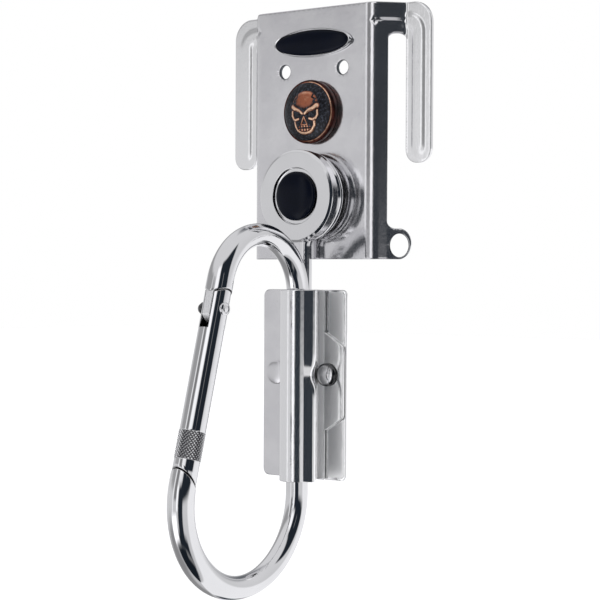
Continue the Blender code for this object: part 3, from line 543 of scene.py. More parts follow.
def gate_bar_surface(sides=288):
    """The bar from the slot's floor to the nose: ring by ring down the gate."""
    edge, turn = 0.25, np.linspace(0, np.pi / 2, 4)
    plain, fade = np.linspace(0, 0.9, 4) * GATE_R, 0.35
    top = [(SLOT_FLOOR, r) for r in plain] + [(SLOT_FLOOR, GATE_R)]
    body = [(y, GATE_R) for y in (-7.8, -12, -20, -30, -41.9, -42.4)]
    knurled = [(y, GATE_R) for y in np.linspace(KNURL_TOP, KNURL_LOW, 109)]
    lower = [(y, GATE_R) for y in np.linspace(-52.8, TIP, 6)]
    nose = [(TIP + edge * (1 - np.sin(t)), GATE_R - edge * (1 - np.cos(t))) for t in turn[::-1]]
    close = [(TIP, r) for r in plain[::-1]]
    rows = np.array(top + body + knurled + lower[:-1] + nose + close)
    along, r = rows[:, :1], rows[:, 1:]
    angle = 2 * np.pi * np.arange(sides) / sides
    on_band = ease((KNURL_TOP - along) / fade) * ease((along - KNURL_LOW) / fade)
    r = r + on_band * (0.42 * knurl(angle, along) - 0.22)
    aside, across = r * np.cos(angle), r * np.sin(angle)
    lean = np.tan(NOSE_SLANT) * aside * np.clip((-along - 52.8) / 6.2, 0, 1)
    points = in_gate(np.stack([across, along + lean, aside], -1))
    # painted shade: the slot's floor, the nose end and the knurl's grooves are painted dark
    ends = np.repeat((np.arange(len(rows)) < 4) | (np.arange(len(rows)) > len(rows) - 6), sides)
    groove_shade = on_band * (1 - knurl(angle, along)) ** 1.5
    return points, grid_faces(len(rows), sides), np.maximum(ends, groove_shade.ravel())


def cheek_surface(side):
    """One cheek of the fork: an arc closed by a chord, drawn up from the slot's floor to the crown."""
    flat, edge, crown = 2.0, 0.3, 6.7
    reach = np.arccos(flat / GATE_R)
    arc = np.linspace(-reach, reach, 25)
    section = np.stack([GATE_R * np.cos(arc), GATE_R * np.sin(arc)], -1)
    chord = np.stack([np.full(9, flat), np.linspace(1, -1, 9) * GATE_R * np.sin(reach)], -1)[1:-1]
    section = np.concatenate([section, chord])
    middle = np.array([(flat + GATE_R) / 2, 0])
    turn = np.linspace(0, np.pi / 2, 5)
    rows = [(SLOT_FLOOR, 0, 1, 0), (SLOT_FLOOR, 1, 1, 0)] + [(y, 1, 1, 0) for y in (-4, -2, 0, 2, 4)]
    rows += [(0, 1, 1 - edge * (1 - np.cos(t)) / 1.2, -edge * (1 - np.sin(t))) for t in turn]
    rows += [(0, 1, k, 0) for k in (0.5, 0.25, 0.0)]
    points = []
    for k, (along, start, scale, drop) in enumerate(rows):
        ring = middle + (section - middle) * (scale if start else 0)
        height = np.sqrt(crown ** 2 - ring[:, 1] ** 2) + drop if k > 6 else np.full(len(ring), float(along))
        points.append(np.stack([side * ring[:, 0], height, ring[:, 1]], -1))
    # painted shade: the flat inner sides of the cheeks, facing the slot, are painted black
    inner = np.tile(np.arange(len(section)) > 24, len(rows))
    return in_gate(np.array(points)), grid_faces(len(rows), len(section)), inner


def pin_surface():
    """The hinge pin: a shank with a low ringed head on the right and a taller round one on the left."""
    head = soft([(0, 5.2), (1.0, 5.16), (1.3, 4.68), (1.6, 5.1), (2.3, 4.75), (2.3, 4.2), (1.3, 4.2)],
                [0, 0.2, 0.1, 0.15, 0.2, 0.05, 0], 6)
    knob = soft([(1.3, -4.2), (2.3, -4.2), (2.3, -5.3), (1.5, -6.7), (0, -6.9)], [0, 0.05, 0.3, 0.8, 0], 6)
    profile = np.concatenate([head, knob])
    angle = 2 * np.pi * np.arange(48) / 48
    r, across = profile[:, :1], np.repeat(profile[:, 1:], 48, 1)
    points = in_gate(np.stack([across, r * np.sin(angle), r * np.cos(angle)], -1))
    return points, grid_faces(len(profile), 48)


# %% Carabiner and gate pieces
wire, tongue = wire_surface(), tongue_surface()
rows, sides = wire[0].shape[:2]
# painted shade: the cut faces at the nose and the shoulder are painted black, where the relief is 1
ends = np.repeat((np.arange(rows) < 9) | (np.arange(rows) > rows - 10), sides)
across, up, out = (wire[0][..., k].ravel() for k in range(3))
# the wire's left side is ground duller near the tongue, so the relief is below 0 there
ground = ease((-27 - up) / 12) * ease((SPINE_X - 0.6 - across) / 1.2) * (out > 44)
piece("carabiner_wire", [wire], "carabiner_ring", WIRE_STEEL, ["carabiner_body"],
      relief=np.where(ends, 1, -ground))
piece("carabiner_tongue", [tongue], "carabiner_ring", TONGUE_STEEL)
*gate, shades = zip(gate_bar_surface(), cheek_surface(1), cheek_surface(-1))
piece("gate_with_knurl", list(zip(*gate)), "gate", WIRE_STEEL, ["gate_bar"], sharp=50,
      relief=np.concatenate(shades).astype(float))
pin = pin_surface()
# painted shade: the pin's left knob is painted dark
knob = 0.9 * ((pin[0][..., 0] < SPINE_X - 4.0) & (pin[0][..., 0] > SPINE_X - 6.7))
piece("gate_hinge_pin", [pin], "gate", CHROME, ["gate_pin"], relief=knob)

# %% [markdown]
# ## The boss and its hanger
#
# The boss is a stack of turned pieces: a washer on the plate, a bush that the wire ring turns on, a thick
# disc with a recess, and a black dome in the recess. Each is one profile turned about the same axis.

# %% Turned pieces of the boss
RING_OUT, RING_R, ROD_R, BORE = 5.4, 14.2, 2.2, 4.8
disc = soft([(BORE, 7.9), (16.4, 7.9), (16.8, 8.3), (16.8, 11.35), (15.9, 12.1), (10.3, 12.1), (10.1, 10.9),
             (BORE, 10.9)], [0.1, 0.3, 0.3, 0.45, 0.3, 0.25, 0.15, 0.1], 8, closed=True)
washer = soft([(BORE, 1.8), (13.0, 1.8), (13.0, 2.9), (BORE, 2.9)], 0.3, 6, closed=True)
bush = soft([(BORE, 3.2), (11.7, 3.2), (11.7, 7.6), (BORE, 7.6)], 0.2, 6, closed=True)
for name, profile, metal, node in (("boss_disc", disc, CHROME, "head_disc"),
                                   ("boss_washer", washer, CHROME, "base_washer"),
                                   ("boss_bush", bush, WIRE_STEEL, "swivel_bush")):
    piece(name, [turned(np.concatenate([profile, profile[:1]]))], "belt_plate_body", metal, [node])
stud = soft([(0, 10.6), (7.0, 10.6), (7.0, 9.6), (4.5, 9.6), (4.5, 1.2), (5.8, 0.0), (0, 0.0)],
            [0, 0.2, 0.1, 0.1, 0.1, 0.15, 0], 6)
piece("boss_stud", [turned(stud, sides=96)], "belt_plate_body", WIRE_STEEL, ["swivel_stud"])
swell = np.linspace(0, np.pi / 2, 14)
dome = np.stack([8.9 * np.sin(swell), 11.7 + 1.4 * np.cos(swell)], -1)
dome = np.concatenate([dome, [(8.9, 11.2), (0, 11.2)]])
piece("boss_black_dome", [turned(dome)], "belt_plate_body", ENAMEL, ["black_dome"])

# %% [markdown]
# The hanger is a ring of round wire with its straight rod welded on: a torus, and a cylinder that starts
# inside it and ends between the clamp's plates.


# %% Ring and rod
def ring_surface(around=160, sides=40):
    """A torus: a small circle carried round a large one."""
    a = 2 * np.pi * np.arange(around)[:, None] / around
    b = 2 * np.pi * np.arange(sides)[None, :] / sides
    r = RING_R + ROD_R * np.cos(b)
    points = np.stack([r * np.sin(a), r * np.cos(a), RING_OUT + ROD_R * np.sin(b) + 0 * a], -1)
    return points, grid_faces(around, sides, close_rows=True)


def rod_surface(top=-12.6, low=-99.0, sides=40):
    """The rod, flared a little into the ring where the weld is."""
    up = np.concatenate([[top, top], np.linspace(top, -19, 14), [-40, -70, low + 0.3, low, low]])
    flare = 1 + 0.35 * (1 - ease((-up - 15.2) / 2.6))
    flare[[0, -1]] = 0
    flare[-2] = 0.9
    b = 2 * np.pi * np.arange(sides) / sides
    r = (ROD_R * flare)[:, None]
    out = np.minimum(ROD_R, r) * np.sin(b)
    points = np.stack([r * np.cos(b), np.repeat(up[:, None], sides, 1), RING_OUT + out], -1)
    return points, grid_faces(len(up), sides)


piece("hanger_ring_and_rod", [ring_surface(), rod_surface()], "hanger_body", WIRE_STEEL, ["hanger_eye"])

# %% [markdown]
# ## Pressed sheets
#
# The plate and the clamp are cut from sheet and pressed. A flat blank is filled with triangles between its
# outline and its holes, and each point is then lifted to where the press puts it. The front and the back
# stand off the middle of the sheet by half its thickness along its normal, and a rounded band closes the
# edge round each outline and hole.


# %% A blank, its triangles and its edge
def dense(loop, gap):
    """A closed loop with points no further apart than the gap."""
    loop = np.asarray(loop, float)
    ends = np.roll(loop, -1, 0)
    counts = np.maximum(1, np.ceil(np.linalg.norm(ends - loop, axis=1) / gap).astype(int))
    owner = np.repeat(np.arange(len(loop)), counts)
    share = (np.arange(counts.sum()) - np.repeat(np.cumsum(counts) - counts, counts)) / counts[owner]
    return loop[owner] + (ends - loop)[owner] * share[:, None]


def inside(points, loop):
    """Which points lie inside a closed loop, by counting the edges that a ray crosses."""
    x, z = points[:, None, 0], points[:, None, 1]
    a, b = loop[None], np.roll(loop, -1, 0)[None]
    spans = (a[..., 1] > z) != (b[..., 1] > z)
    level = np.where(spans, b[..., 1] - a[..., 1], 1)
    return (spans & (x < (b[..., 0] - a[..., 0]) * (z - a[..., 1]) / level + a[..., 0])).sum(1) % 2 == 1


def far_from(points, loop, gap):
    """Which points are more than the gap from each point of a dense loop."""
    return np.array([((loop - p) ** 2).sum(1).min() > gap ** 2 for p in points])


def pressed(outline, holes, columns, rows, shape, thickness, edge=0.25, gap=0.5):
    """A blank in (across, up), pressed by shape(points) -> (out, normal), as a closed solid."""
    loops = [dense(outline, gap)] + [dense(h[::-1], gap) for h in holes]
    bands = [rim(loop, thickness, edge) for loop in loops]
    inner = [band[0][0] for band in bands]
    lattice = np.stack(np.meshgrid(columns, rows), -1).reshape(-1, 2)
    keep = inside(lattice, inner[0])
    for hole in inner[1:]:
        keep &= ~inside(lattice, hole)
    lattice = lattice[keep]
    for loop in inner:
        lattice = lattice[far_from(lattice, loop, gap * 0.6)]
    flat = np.concatenate(inner + [lattice])
    starts = np.cumsum([0] + [len(loop) for loop in inner])
    edges = [(int(start + k), int(start + (k + 1) % len(loop)))
             for start, loop in zip(starts, inner) for k in range(len(loop))]
    co, _, tris, *_ = delaunay_2d_cdt(flat.tolist(), edges, [], 0, 1e-6)
    co, tris = np.array([tuple(c) for c in co]), np.array(tris)
    middle = co[tris].mean(1)
    keep = inside(middle, inner[0])
    for hole in inner[1:]:
        keep &= ~inside(middle, hole)
    tris = tris[keep]
    parts = []
    for half, turn in ((1, 1), (-1, -1)):
        out, normal = shape(co)
        lifted = np.stack([co[:, 0], co[:, 1], out], -1) + normal * half * thickness / 2
        parts.append((lifted, tris[:, ::turn]))
    for loop, height in bands:
        out, normal = shape(loop.reshape(-1, 2))
        lifted = np.concatenate([loop.reshape(-1, 2), out[:, None]], 1).reshape(*loop.shape[:2], 3)
        lifted = lifted + normal.reshape(*loop.shape[:2], 3) * height[:, None, None]
        parts.append((lifted, grid_faces(*loop.shape[:2])))
    return parts


# %% [markdown]
# ## The belt plate
#
# Seen from above, the plate is a flat panel, two wings folded back at 48 degrees, and two arms behind the
# belt. So how far out a point lies depends on its distance from the middle, through a polyline with soft
# corners. Low down, where the right wing ends in a lug for a cord, a second polyline bends it more gently,
# so that the lug lies in one plane. The press also leaves a long bead in each arm and a small dart across
# the bends near the top.

# %% The plate's fold
PLATE_T, PANEL_HALF, WING, BEND_R, ARM_BEND_R = 1.5, 26.2, np.radians(48), 6.0, 2.2
ARM_IN, ARM_OUT, ARM_MIDDLE, FAR = 34.574, 45.774, -8.55, 60
LUG_X, LUG_R, LUG_HOLE_R, LUG_BEND, LUG_END = 33.694, 5.55, 4.2, 30.4, 37.9
PLATE_LOW, PLATE_TOP, WING_EDGE, BUTTON_UP, BADGE_UP = -22.8, 69.2, 30.0, 31, 56.4
panel = [(0, PLATE_T / 2), (PANEL_HALF, PLATE_T / 2)]
FOLD = soft([*panel, (ARM_IN, ARM_MIDDLE), (FAR, ARM_MIDDLE)], [0, BEND_R, ARM_BEND_R, 0], 60)
LUG_FOLD = soft([*panel, (LUG_BEND, PLATE_T / 2 - (LUG_BEND - PANEL_HALF) * np.tan(WING)),
                 (LUG_END, ARM_MIDDLE), (FAR, ARM_MIDDLE)], [0, BEND_R, BEND_R, 0.4, 0], 60)


def bead(x, z):
    """How far the arm's bead stands out: wide and low, up the arm and round the corner to the wing."""
    x, round_x, round_z, turn = np.abs(x), 35.7, 58.1, 4.5
    up_arm = np.hypot(x - 40.2, np.maximum(17.8 - z, 0)) + 9 * (z > round_z)
    to_wing = np.hypot(z - 62.6, np.maximum(35.2 - x, 0)) + 9 * (x > round_x)
    corner = np.abs(np.hypot(x - round_x, z - round_z) - turn) + 9 * ((x < round_x) | (z < round_z))
    return 0.26 * ease((3.2 - np.minimum(np.minimum(up_arm, to_wing), corner)) / 1.8)


def dart(x, z):
    """A small dart across the bend, and the rib that runs from it over the wing."""
    point = 1 - (np.abs(np.abs(x) - 26.6) + np.abs(z - 62.6)) / 1.9
    rib = ease(1 - np.abs(z - 62.6) / 0.9) * ease((np.abs(x) - 26.0) / 1.5) * ease((34.8 - np.abs(x)) / 1.5)
    return -0.45 * ease(point) - 0.35 * rib


def plate_out(x, z):
    """How far out the middle of the plate lies: the fold at that height, plus the bead, plus the dart."""
    high, low = (np.interp(np.abs(x), *line.T) for line in (FOLD, LUG_FOLD))
    return np.where(z < 5, low, high) + bead(x, z) + dart(x, z)


def plate_shape(p, step=0.02):
    """The plate's middle at (across, up), and its normal from the slopes a small step either side."""
    x, z = p[:, 0], p[:, 1]
    tilt = [(plate_out(x - step, z) - plate_out(x + step, z)) / (2 * step),
            (plate_out(x, z - step) - plate_out(x, z + step)) / (2 * step)]
    normal = np.stack([*tilt, 0 * x + 1], -1)
    return plate_out(x, z), normal / np.linalg.norm(normal, axis=1)[:, None]


def circle(x, z, r, squash=1.0, count=64):
    """A round hole, anticlockwise; on a folded wing it is narrower seen from the front."""
    a = 2 * np.pi * np.arange(count) / count
    return np.stack([x + r * squash * np.cos(a), z + r * np.sin(a)], -1)


# %% The plate's outline and lattice
lug = np.pi / 2 - np.pi * np.arange(33) / 32
lug = np.stack([LUG_X + LUG_R * np.cos(WING) * np.cos(lug), PLATE_LOW + LUG_R + LUG_R * np.sin(lug)], -1)
arm = [(ARM_OUT, PLATE_TOP, 8.0), (ARM_OUT, 11.7, 5.0), (ARM_IN, 11.7, 5.0), (ARM_IN, 58.0, 2.0),
       (WING_EDGE, 58.0, 2.0)]
left = [(-x, z, r) for x, z, r in arm[::-1]]
corners = left + arm + [(WING_EDGE, -11.7, 2.5), (*lug[0], 0)]
corners = np.array([(-WING_EDGE, PLATE_LOW, 0)] + corners)
half = soft(corners[:, :2], corners[:, 2], 10)
outline = np.concatenate([half, lug[1:]])[::-1]
columns = np.concatenate([np.linspace(-23, 23, 21), *(s * np.arange(23.4, 28.5, 0.3) for s in (-1, 1)),
                          *(s * np.arange(28.8, 33, 0.8) for s in (-1, 1)),
                          *(s * np.arange(33.2, 45.6, 0.4) for s in (-1, 1))])
levels = np.concatenate([np.arange(-22, 59, 1.1), np.arange(59, 69, 0.45)])
holes = [circle(-13.4, 46.6, 2.5), circle(13.4, 46.6, 2.5), circle(0, BUTTON_UP, 1.9), circle(0, 0, BORE),
         circle(LUG_X, -17.8, LUG_HOLE_R, np.cos(WING))]
plate = pressed(outline, holes, columns, levels, plate_shape, PLATE_T, 0.3)
shade = [np.zeros(grid.shape[:-1]) for grid, _ in plate]
# after the front, the back and the outer edge come the walls of the holes, which lie in shade
for wall in shade[3:]:
    wall[1:-1] = 1
shade = np.concatenate([part.ravel() for part in shade])
piece("folded_belt_plate", plate, "belt_plate_body", SHEET_STEEL, ["belt_plate"], sharp=35, relief=shade)

# %% [markdown]
# ## The clamp
#
# The clamp's back is a flat sheet. Its cover lies on it at the left, rises round the wire's spine as a
# barrel, comes down over a facet to a waist and ends in a tab under the right rivet. One line gives its
# section, and the tab's outline is cut in at both ends. Beside the rivet the facet is dented to make room
# for the head: there a bell curve of the height pushes the line inwards.


# %% The cover's section, carried from top to bottom
COVER_T, CLAMP_TOP, CLAMP_LOW, CLAMP_LEFT, CLAMP_RIGHT = 1.0, -33.9, -103.0, -20.8, 16.8
FLANGE, BARREL_R, FACET, FACET_TURN, CLAMP_CORNER = 3.7, 5.9, 4.6, np.radians(38.7), 2.2
TAB_CUT, TAB_END, RIVET_UP, CLAMP_EDGE = 8, 16.5, -64.7, 0.25


def cover_line(start, end):
    """The middle of the cover seen from above, as (across, out), from its left edge to its right."""
    barrel = np.radians(np.linspace(180, 29, 44))
    arch = np.stack([SPINE_X + BARREL_R * np.cos(barrel), SPINE_OUT + BARREL_R * np.sin(barrel)], -1)
    wall = SPINE_X - BARREL_R
    left = soft([(start, FLANGE), (wall, FLANGE), (wall, SPINE_OUT)], [0, 1.4, 0], 8)
    facet = arch[-1] + FACET * np.array([np.cos(FACET_TURN), -np.sin(FACET_TURN)])
    fall = soft([arch[-1], facet, (4.8, 7.5), (4.2, FLANGE), (end, FLANGE)], [0, 1.3, 1.4, 0.8, 0], 12)
    flange = start + (left[1, 0] - start) * np.linspace(0, 1, 9)[:-1]
    tab = fall[-2, 0] + (end - fall[-2, 0]) * np.linspace(0, 1, 8)[1:]
    return np.concatenate([np.stack([flange, 0 * flange + FLANGE], -1), left[1:-1], arch, fall[1:-1],
                           np.stack([tab, 0 * tab + FLANGE], -1)])


def cover_middle(edge):
    """Rows from the top down, each the section between that level's left and right ends."""
    right = soft([(TAB_CUT, CLAMP_TOP), (TAB_CUT, -49.5), (TAB_END, -54.5), (TAB_END, -80), (TAB_CUT, -85),
                  (TAB_CUT, CLAMP_LOW)], [0, 0.3, CLAMP_CORNER, CLAMP_CORNER, 0.3, 0], 12)
    top, low = CLAMP_TOP - edge, CLAMP_LOW + edge
    corner = CLAMP_CORNER * (1 - np.cos(np.linspace(0, np.pi / 2, 9)))[1:]
    levels = np.concatenate([[top], top - corner, np.linspace(-37.5, -48.5, 8), np.linspace(-49.2, -57, 22),
                             np.linspace(-57.5, -77, 40), np.linspace(-77.7, -85.4, 22),
                             np.linspace(-86.5, -100, 8), low + corner[::-1], [low]])
    from_end = np.clip(CLAMP_CORNER - np.minimum(top - levels, levels - low), 0, CLAMP_CORNER)
    starts = CLAMP_LEFT + edge + CLAMP_CORNER - np.sqrt(CLAMP_CORNER ** 2 - from_end ** 2)
    ends = np.interp(-levels, -right[:, 1], right[:, 0]) - edge
    lines = np.array([cover_line(a, b) for a, b in zip(starts, ends)])
    dent = np.exp(-((levels[:, None] - RIVET_UP) / 3.4) ** 2) * ease((lines[..., 0] - 7) / 3.5)
    lines[..., 0] -= 2.0 * dent * ease((lines[..., 1] - 5) / 2)
    step = np.gradient(lines, axis=1)
    step /= np.linalg.norm(step, axis=-1)[..., None]
    level = np.repeat(levels[:, None], lines.shape[1], 1)
    return (np.stack([lines[..., 0], level, lines[..., 1]], -1),
            np.stack([-step[..., 1], 0 * level, step[..., 0]], -1))


def closed_sheet(middle, normal, thickness, edge):
    """Front and back stand off the middle; the edge is middle + n t/2 cos a + away * edge * sin a."""
    rows, cols = middle.shape[:2]
    border = [(0, slice(None, -1)), (slice(None, -1), -1), (-1, slice(None, 0, -1)), (slice(None, 0, -1), 0)]
    loop, up = (np.concatenate([grid[b] for b in border]) for grid in (middle, normal))
    away = np.cross(up, np.roll(loop, -1, 0) - np.roll(loop, 1, 0))
    away /= np.linalg.norm(away, axis=1)[:, None]
    a = np.linspace(0, np.pi, 9)[:, None, None]
    band = loop + up * thickness / 2 * np.cos(a) + away * edge * np.sin(a)
    flat = grid_faces(rows, cols, close_cols=False)
    return [(middle + normal * thickness / 2, flat), (middle - normal * thickness / 2, flat),
            (band, grid_faces(9, len(loop)))]


# %% Clamp pieces
piece("clamp_barrel_cover", closed_sheet(*cover_middle(CLAMP_EDGE), COVER_T, CLAMP_EDGE), "hanger_body",
      COVER_STEEL, ["clamp_cover"])
back = soft([(CLAMP_LEFT, CLAMP_LOW), (CLAMP_RIGHT, CLAMP_LOW), (CLAMP_RIGHT, CLAMP_TOP),
             (CLAMP_LEFT, CLAMP_TOP)], CLAMP_CORNER, 10, closed=True)
piece("clamp_back_sheet", pressed(back, [], np.arange(-20, 17, 1.0), np.arange(-102, -34, 1.0),
                                  lambda p: (0 * p[:, 0] + 2.4, np.tile([0, 0, 1.0], (len(p), 1))),
                                  COVER_T, CLAMP_EDGE), "hanger_body", COVER_STEEL, ["clamp_back"])
for side, x, r, tall, metal in (("left", -14.4, 4.3, 0.9, DULL_RIVET), ("right", 9.2, 4.2, 2.0, CHROME)):
    a = np.linspace(0, np.pi / 2, 14)
    head = np.stack([r * np.sin(a), 4.5 + 0.25 * tall + 0.75 * tall * np.cos(a)], -1)
    shank = soft([(r, 4.7), (r - 0.1, 4.5), (1.8, 4.5), (1.8, 1.9), (0, 1.9)], 0.05, 6)
    profile = np.concatenate([head, shank])
    # painted shade: the right rivet's outer ring is painted dark
    shade = 0.9 * ease((profile[:, :1] - 0.74 * r) / 0.6) * np.ones((1, 72))
    piece(f"clamp_rivet_head_{side}", [turned(profile, (x, RIVET_UP), 72)], "hanger_body", metal,
          [f"clamp_rivet_{side}"], relief=shade * (side == "right"))

# %% [markdown]
# ## The badge
#
# An oval tray with a fine double rim holds a poured dome of bare black enamel. Both pieces are turned
# profiles, squashed to an oval.

# %% Badge
OVAL_R, OVAL = 17.8, 5.2 / 17.8
tray = soft([(0, 1.8), (OVAL_R, 1.8), (OVAL_R, 2.6), (17.4, 3.05), (16.9, 2.9), (16.8, 2.3), (0, 2.3)],
            [0, 0.2, 0.2, 0.15, 0.1, 0.05, 0], 8)
piece("badge_tray", [turned(tray, (0, BADGE_UP), 160, OVAL)], "belt_plate_body", CHROME, ["badge_bezel"])
a = np.linspace(0, np.pi / 2, 12)
pour = np.concatenate([np.stack([16.9 * np.sin(a), 2.8 + 0.9 * np.cos(a)], -1), [(16.9, 2.6), (0, 2.6)]])
piece("badge_enamel", [turned(pour, (0, BADGE_UP), 160, OVAL * 0.93)], "belt_plate_body", ENAMEL,
      ["badge_inlay"])

# %% [markdown]
# ## The ornament
#
# A round copper button with a skull in relief, a common figure that is simplified here and alike on both
# halves. It is a heightfield over the disc. Smooth mounds make the vault, the face and the jaw, and hollows
# the eyes, the nose and the mouth. Strokes along short lines draw the brow, the cheek bones, the nose, the
# chin and a crack in each temple. The same sums say how much each place is rubbed, so copper shows there.


# %% Relief of the ornament
def mound(x, y, cx, cy, w, h, turn=0.0, power=1.0):
    """A smooth oval mound, 1 in its middle and 0 outside."""
    c, s = np.cos(turn), np.sin(turn)
    u, v = ((x - cx) * c + (y - cy) * s) / w, (-(x - cx) * s + (y - cy) * c) / h
    return np.clip(1 - (u * u + v * v), 0, 1) ** power


def stroke(x, y, path, width):
    """1 on a line drawn through the points, and 0 from the width away."""
    start, run = np.array(path[:-1]), np.diff(path, axis=0)
    at = np.stack([x, y], -1)[..., None, :] - start
    share = np.clip((at * run).sum(-1) / (run ** 2).sum(-1), 0, 1)
    away = np.linalg.norm(at - share[..., None] * run, axis=-1).min(-1)
    return ease(1.5 * (1 - away / width))


def skull(x, y):
    """Height of the plain skull in millimetres, and how much each place is rubbed; both halves are alike."""
    ax = np.abs(x)
    brow = stroke(ax, y, [(0.5, -0.9), (2.2, 0.3), (4.2, 1.0), (5.5, 1.9)], 0.55 + 0.11 * ax)
    cheek = stroke(ax, y, [(5.7, 0.1), (5.75, -1.4), (5.0, -2.7), (3.9, -3.1), (2.5, -2.7)], 0.60)
    nose = stroke(ax, y, [(0, -2.0), (1.35, -4.8), (0, -4.9)], 0.36)
    chin = stroke(ax, y, [(4.5, -3.9), (4.3, -5.3), (3.4, -6.8), (2.0, -7.7), (0, -8.0)], 0.62)
    socket = ease(1.9 * mound(ax, y, 3.2, -0.95, 2.2, 1.5, 0.30))
    nostril = ease((0.54 * (-2.3 - y) - ax) / 0.25) * ease((y + 4.7) / 0.25)
    mouth = ease(1.8 * mound(x, y, 0, -6.1, 3.4, 1.3))
    teeth = mouth * ease(2.4 * np.abs(np.sin(np.pi * (x / 1.25 + 0.5))) - 0.9)
    teeth *= ease(2.4 * np.abs(np.sin(np.pi * (y + 6.05) / 1.6)) - 0.6)
    crack = stroke(ax, y, [(5.6, 2.9), (4.2, 3.3), (4.7, 4.3), (3.4, 5.0), (3.6, 6.0)], 0.45)
    bone = np.maximum(1.25 * ease(1.6 * mound(x, y, 0, 2.6, 6.1, 5.0, power=0.8)),
                      0.85 * ease(1.8 * mound(x, y, 0, -2.6, 5.3, 4.0, power=0.8)))
    bone = np.maximum(bone, 0.75 * ease(1.8 * mound(x, y, 0, -5.8, 4.4, 2.7, power=0.8)))
    edge = 4 * (bone / 1.25) * (1 - bone / 1.25) * (y > 0.5)
    bone += 0.5 * brow + 0.45 * cheek + 0.35 * nose + 0.4 * chin + 0.3 * teeth
    bone -= 1.0 * socket + 0.7 * nostril + 0.45 * mouth + 0.3 * crack
    worn = np.max([brow, cheek * (1 - 0.8 * socket), 0.75 * nose, chin, 0.8 * teeth], 0)
    vault = 0.60 * ease(1.15 * mound(x, y, 0.2, 4.2, 5.4, 3.9)) + 0.35 * edge * (y > 2.5)
    worn = np.maximum(worn, vault * (1 - socket) * (1 - crack))
    return np.maximum(bone, 0), np.where((bone > 0.05) & (worn < 0.05), -0.3, worn)


def button_face(radius=10.9, foot=3.3, rings=170, sides=300):
    """A crowned disc with the relief on it; rings run from the middle to the edge and under it."""
    r = radius * np.linspace(0, 1, rings)[:, None]
    a = 2 * np.pi * np.arange(sides) / sides
    x, y = r * np.cos(a), r * np.sin(a)
    crown = np.sqrt(np.clip(1 - (r / 11.6) ** 2, 0, 1))
    bone, worn = skull(x, y)
    out = 4.6 + 2.2 * (crown - crown[-1]) / (1 - crown[-1]) + 0.42 * bone
    points = np.stack([x, BUTTON_UP + y, out], -1)
    low = np.stack([x[-1:], BUTTON_UP + y[-1:], 0 * out[-1:] + foot], -1)
    pole = np.stack([0 * x[:1], BUTTON_UP + 0 * y[:1], 0 * out[:1] + foot], -1)
    # the copper line round the rim is rubbed edge, with a painted highlight that makes it brighter towards
    # the right
    lit = 0.15 + 0.85 * ease((np.cos(a) + 0.45) / 0.6)
    share = np.maximum(worn, 0.92 * lit * ease((r - radius + 0.45) / 0.3))
    surface = np.concatenate([points, low, pole]), grid_faces(rings + 2, sides)
    return surface, np.concatenate([share, 0 * share[:2]])


# %% Button pieces
surface, share = button_face()
piece("ornament_face", [surface], "belt_plate_body", DARK_COPPER, ["button_face"], 60, share)
cup = soft([(1.9, 1.8), (11.5, 1.8), (11.7, 3.6), (11.5, 4.5), (11.0, 4.5), (11.0, 3.1), (1.9, 3.1)],
           [0.05, 0.3, 0.8, 0.25, 0.15, 0.1, 0.05], 8, closed=True)
piece("ornament_cup", [turned(np.concatenate([cup, cup[:1]]), (0, BUTTON_UP))], "belt_plate_body", COPPER,
      ["button_cup"])

# %% [markdown]
# ## Pieces that stay as they are
#
# The screw behind the ornament, and the spring and the plunger inside the gate, have their right shape
# in the imported model already. They only need a metal that shows what they are; the plunger's brass is
# painted almost black, as painted shade inside the gate.

# %% Screw, spring and plunger
for node, metal in (("button_screw", SPRING), ("gate_spring", SPRING), ("gate_plunger", BRASS_IN_PAINTED_SHADE)):
    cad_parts[node].material_slots[0].material = metal
    print(node, "is now", metal.name)

# %% [markdown]
# ## Floor, light and camera
#
# Polished metal shows the room more than itself. The photograph was taken in a white tent with gaps of
# dark between its panels, so the room here is a dome whose brightness depends on the direction. Pale light
# fills all of it, and a list of walls, lamps, stands and dark gaps is laid over that, one after the other.
# Each has a middle, half a width, half a height and a soft edge, in degrees seen from the hanger. The
# floor is plain and white, and is left out of what the metal mirrors. The camera has the long lens and
# the slight downward look that fit the photograph.

# %% A plain white floor
floor = bpy.data.meshes.new("floor")
floor.from_pydata([(-6, -6, -0.3), (6, -6, -0.3), (6, 6, -0.3), (-6, 6, -0.3)], [], [(0, 1, 2, 3)])
floor.materials.append(finish("floor_white", "floor", (0.9, 0.9, 0.9, 1), 0.0, 0.6,
                              **{"Emission Color": (1, 1, 1, 1), "Emission Strength": 0.6}))
floor = bpy.data.objects.new("floor", floor)
bpy.context.scene.collection.objects.link(floor)
floor.visible_glossy = False

# %% The tent of light: azimuth, elevation, half width, half height, softness in degrees, then brightness
TENT = [("upper back, far from the lamps", -160, 42, 26, 30, 14, 0.16),
        ("lower left wall in shade", -90, -42, 52, 26, 12, 0.30),
        ("left wall by the door", -85, 19, 57, 10, 5, 0.38),
        ("lower right wall, lit", 160, -46, 62, 46, 6, 1.0),
        ("grey band in front", -10, 14, 11, 13, 3, 0.24),
        ("strip lamp on the left", -29, 6, 3, 18, 3, 1.1),
        ("lamp above the lens", 19, 30, 13, 11, 4, 1.20),
        ("strip lamp beside the lens", 9, 3, 6, 12, 3, 1.25),
        ("lamp below the lens", -18, -26, 22, 13, 5, 1.50),
        ("dark gap on the right", 72, 22, 36, 24, 4, 0.022),
        ("slit in the gap", 66, 19, 2, 6, 2, 0.25),
        ("dark gap by the lens", 37, -12, 18, 26, 4, 0.024),
        ("dark stand below", 25, -68, 55, 26, 7, 0.015),
        ("dark stand in front", 42, -38, 34, 9, 6, 0.02),
        ("reflector on the stand", 62, -49, 18, 4, 4, 0.22),
        ("dark foot at the back", -150, -46, 10, 12, 5, 0.05)]
room = bpy.data.worlds.new("tent")
room.use_nodes = True
bpy.context.scene.world = room
sky = Shader(room.node_tree)
way = sky.node("ShaderNodeTexCoord", out="Generated")
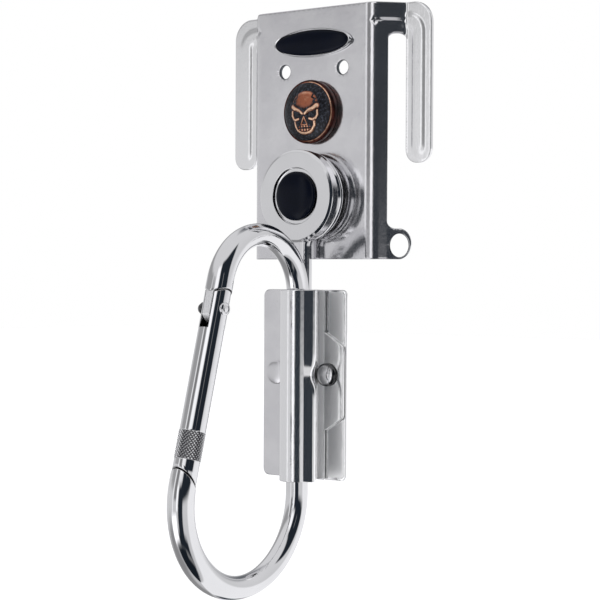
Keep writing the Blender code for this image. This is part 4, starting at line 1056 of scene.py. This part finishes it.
east, south, rise = (sky.node("ShaderNodeSeparateXYZ", inputs={0: way}, out=axis) for axis in "XYZ")
around = sky.maths("ARCTAN2", east, south * -1.0) * (180 / np.pi)
above = sky.maths("ARCSINE", rise) * (180 / np.pi)


def tone(brightness):
    """Pale tones lean a little to lilac and dark ones to navy."""
    cold = 1 - min(5 * brightness, 1)
    return *(brightness * share for share in (1 - 0.30 * cold, 1 - 0.02 * cold, 1.02 + 0.38 * cold)), 1


light = sky.mix(sky.band(above, -70, 60), tone(0.62), tone(0.76))
for _, azimuth, elevation, wide, high, softness, brightness in TENT:
    aside = sky.maths("ABSOLUTE", sky.maths("WRAP", around - azimuth, 180.0, -180.0))
    aloft = sky.maths("ABSOLUTE", above - elevation)
    near = sky.band(aside, wide + softness, wide - softness)
    level = sky.band(aloft, high + softness, high - softness)
    light = sky.mix(near * level, light, tone(brightness))
seen = sky.mix(sky.node("ShaderNodeLightPath", out="Is Camera Ray"), light, (1, 1, 1, 1))
room.node_tree.links.new(seen.socket, room.node_tree.nodes["Background"].inputs["Color"])
bpy.context.scene.view_settings.view_transform = "Standard"
print("the tent:", ", ".join(title for title, *_ in TENT))

# %% The camera
YAW, PITCH, ROLL = np.radians([38.68, 0.825, -0.297])
CAMERA_AT, FOCAL, SENSOR = (0.3979, -0.5057, -0.0285), 105.078, 36
ahead = np.array([-np.sin(YAW) * np.cos(PITCH), np.cos(YAW) * np.cos(PITCH), -np.sin(PITCH)])
level_right = np.array([np.cos(YAW), np.sin(YAW), 0])
level_down = np.cross(ahead, level_right)
right = np.cos(ROLL) * level_right + np.sin(ROLL) * level_down
down = -np.sin(ROLL) * level_right + np.cos(ROLL) * level_down
lens = bpy.data.cameras.new("camera")
lens.lens, lens.sensor_width = FOCAL, SENSOR
camera = bpy.data.objects.new("camera", lens)
place = np.eye(4)
place[:3] = np.stack([right, -down, -ahead, CAMERA_AT], -1)
camera.matrix_world = Matrix(place.tolist())
bpy.context.scene.collection.objects.link(camera)
bpy.context.scene.camera = camera
print("camera looks from", CAMERA_AT)
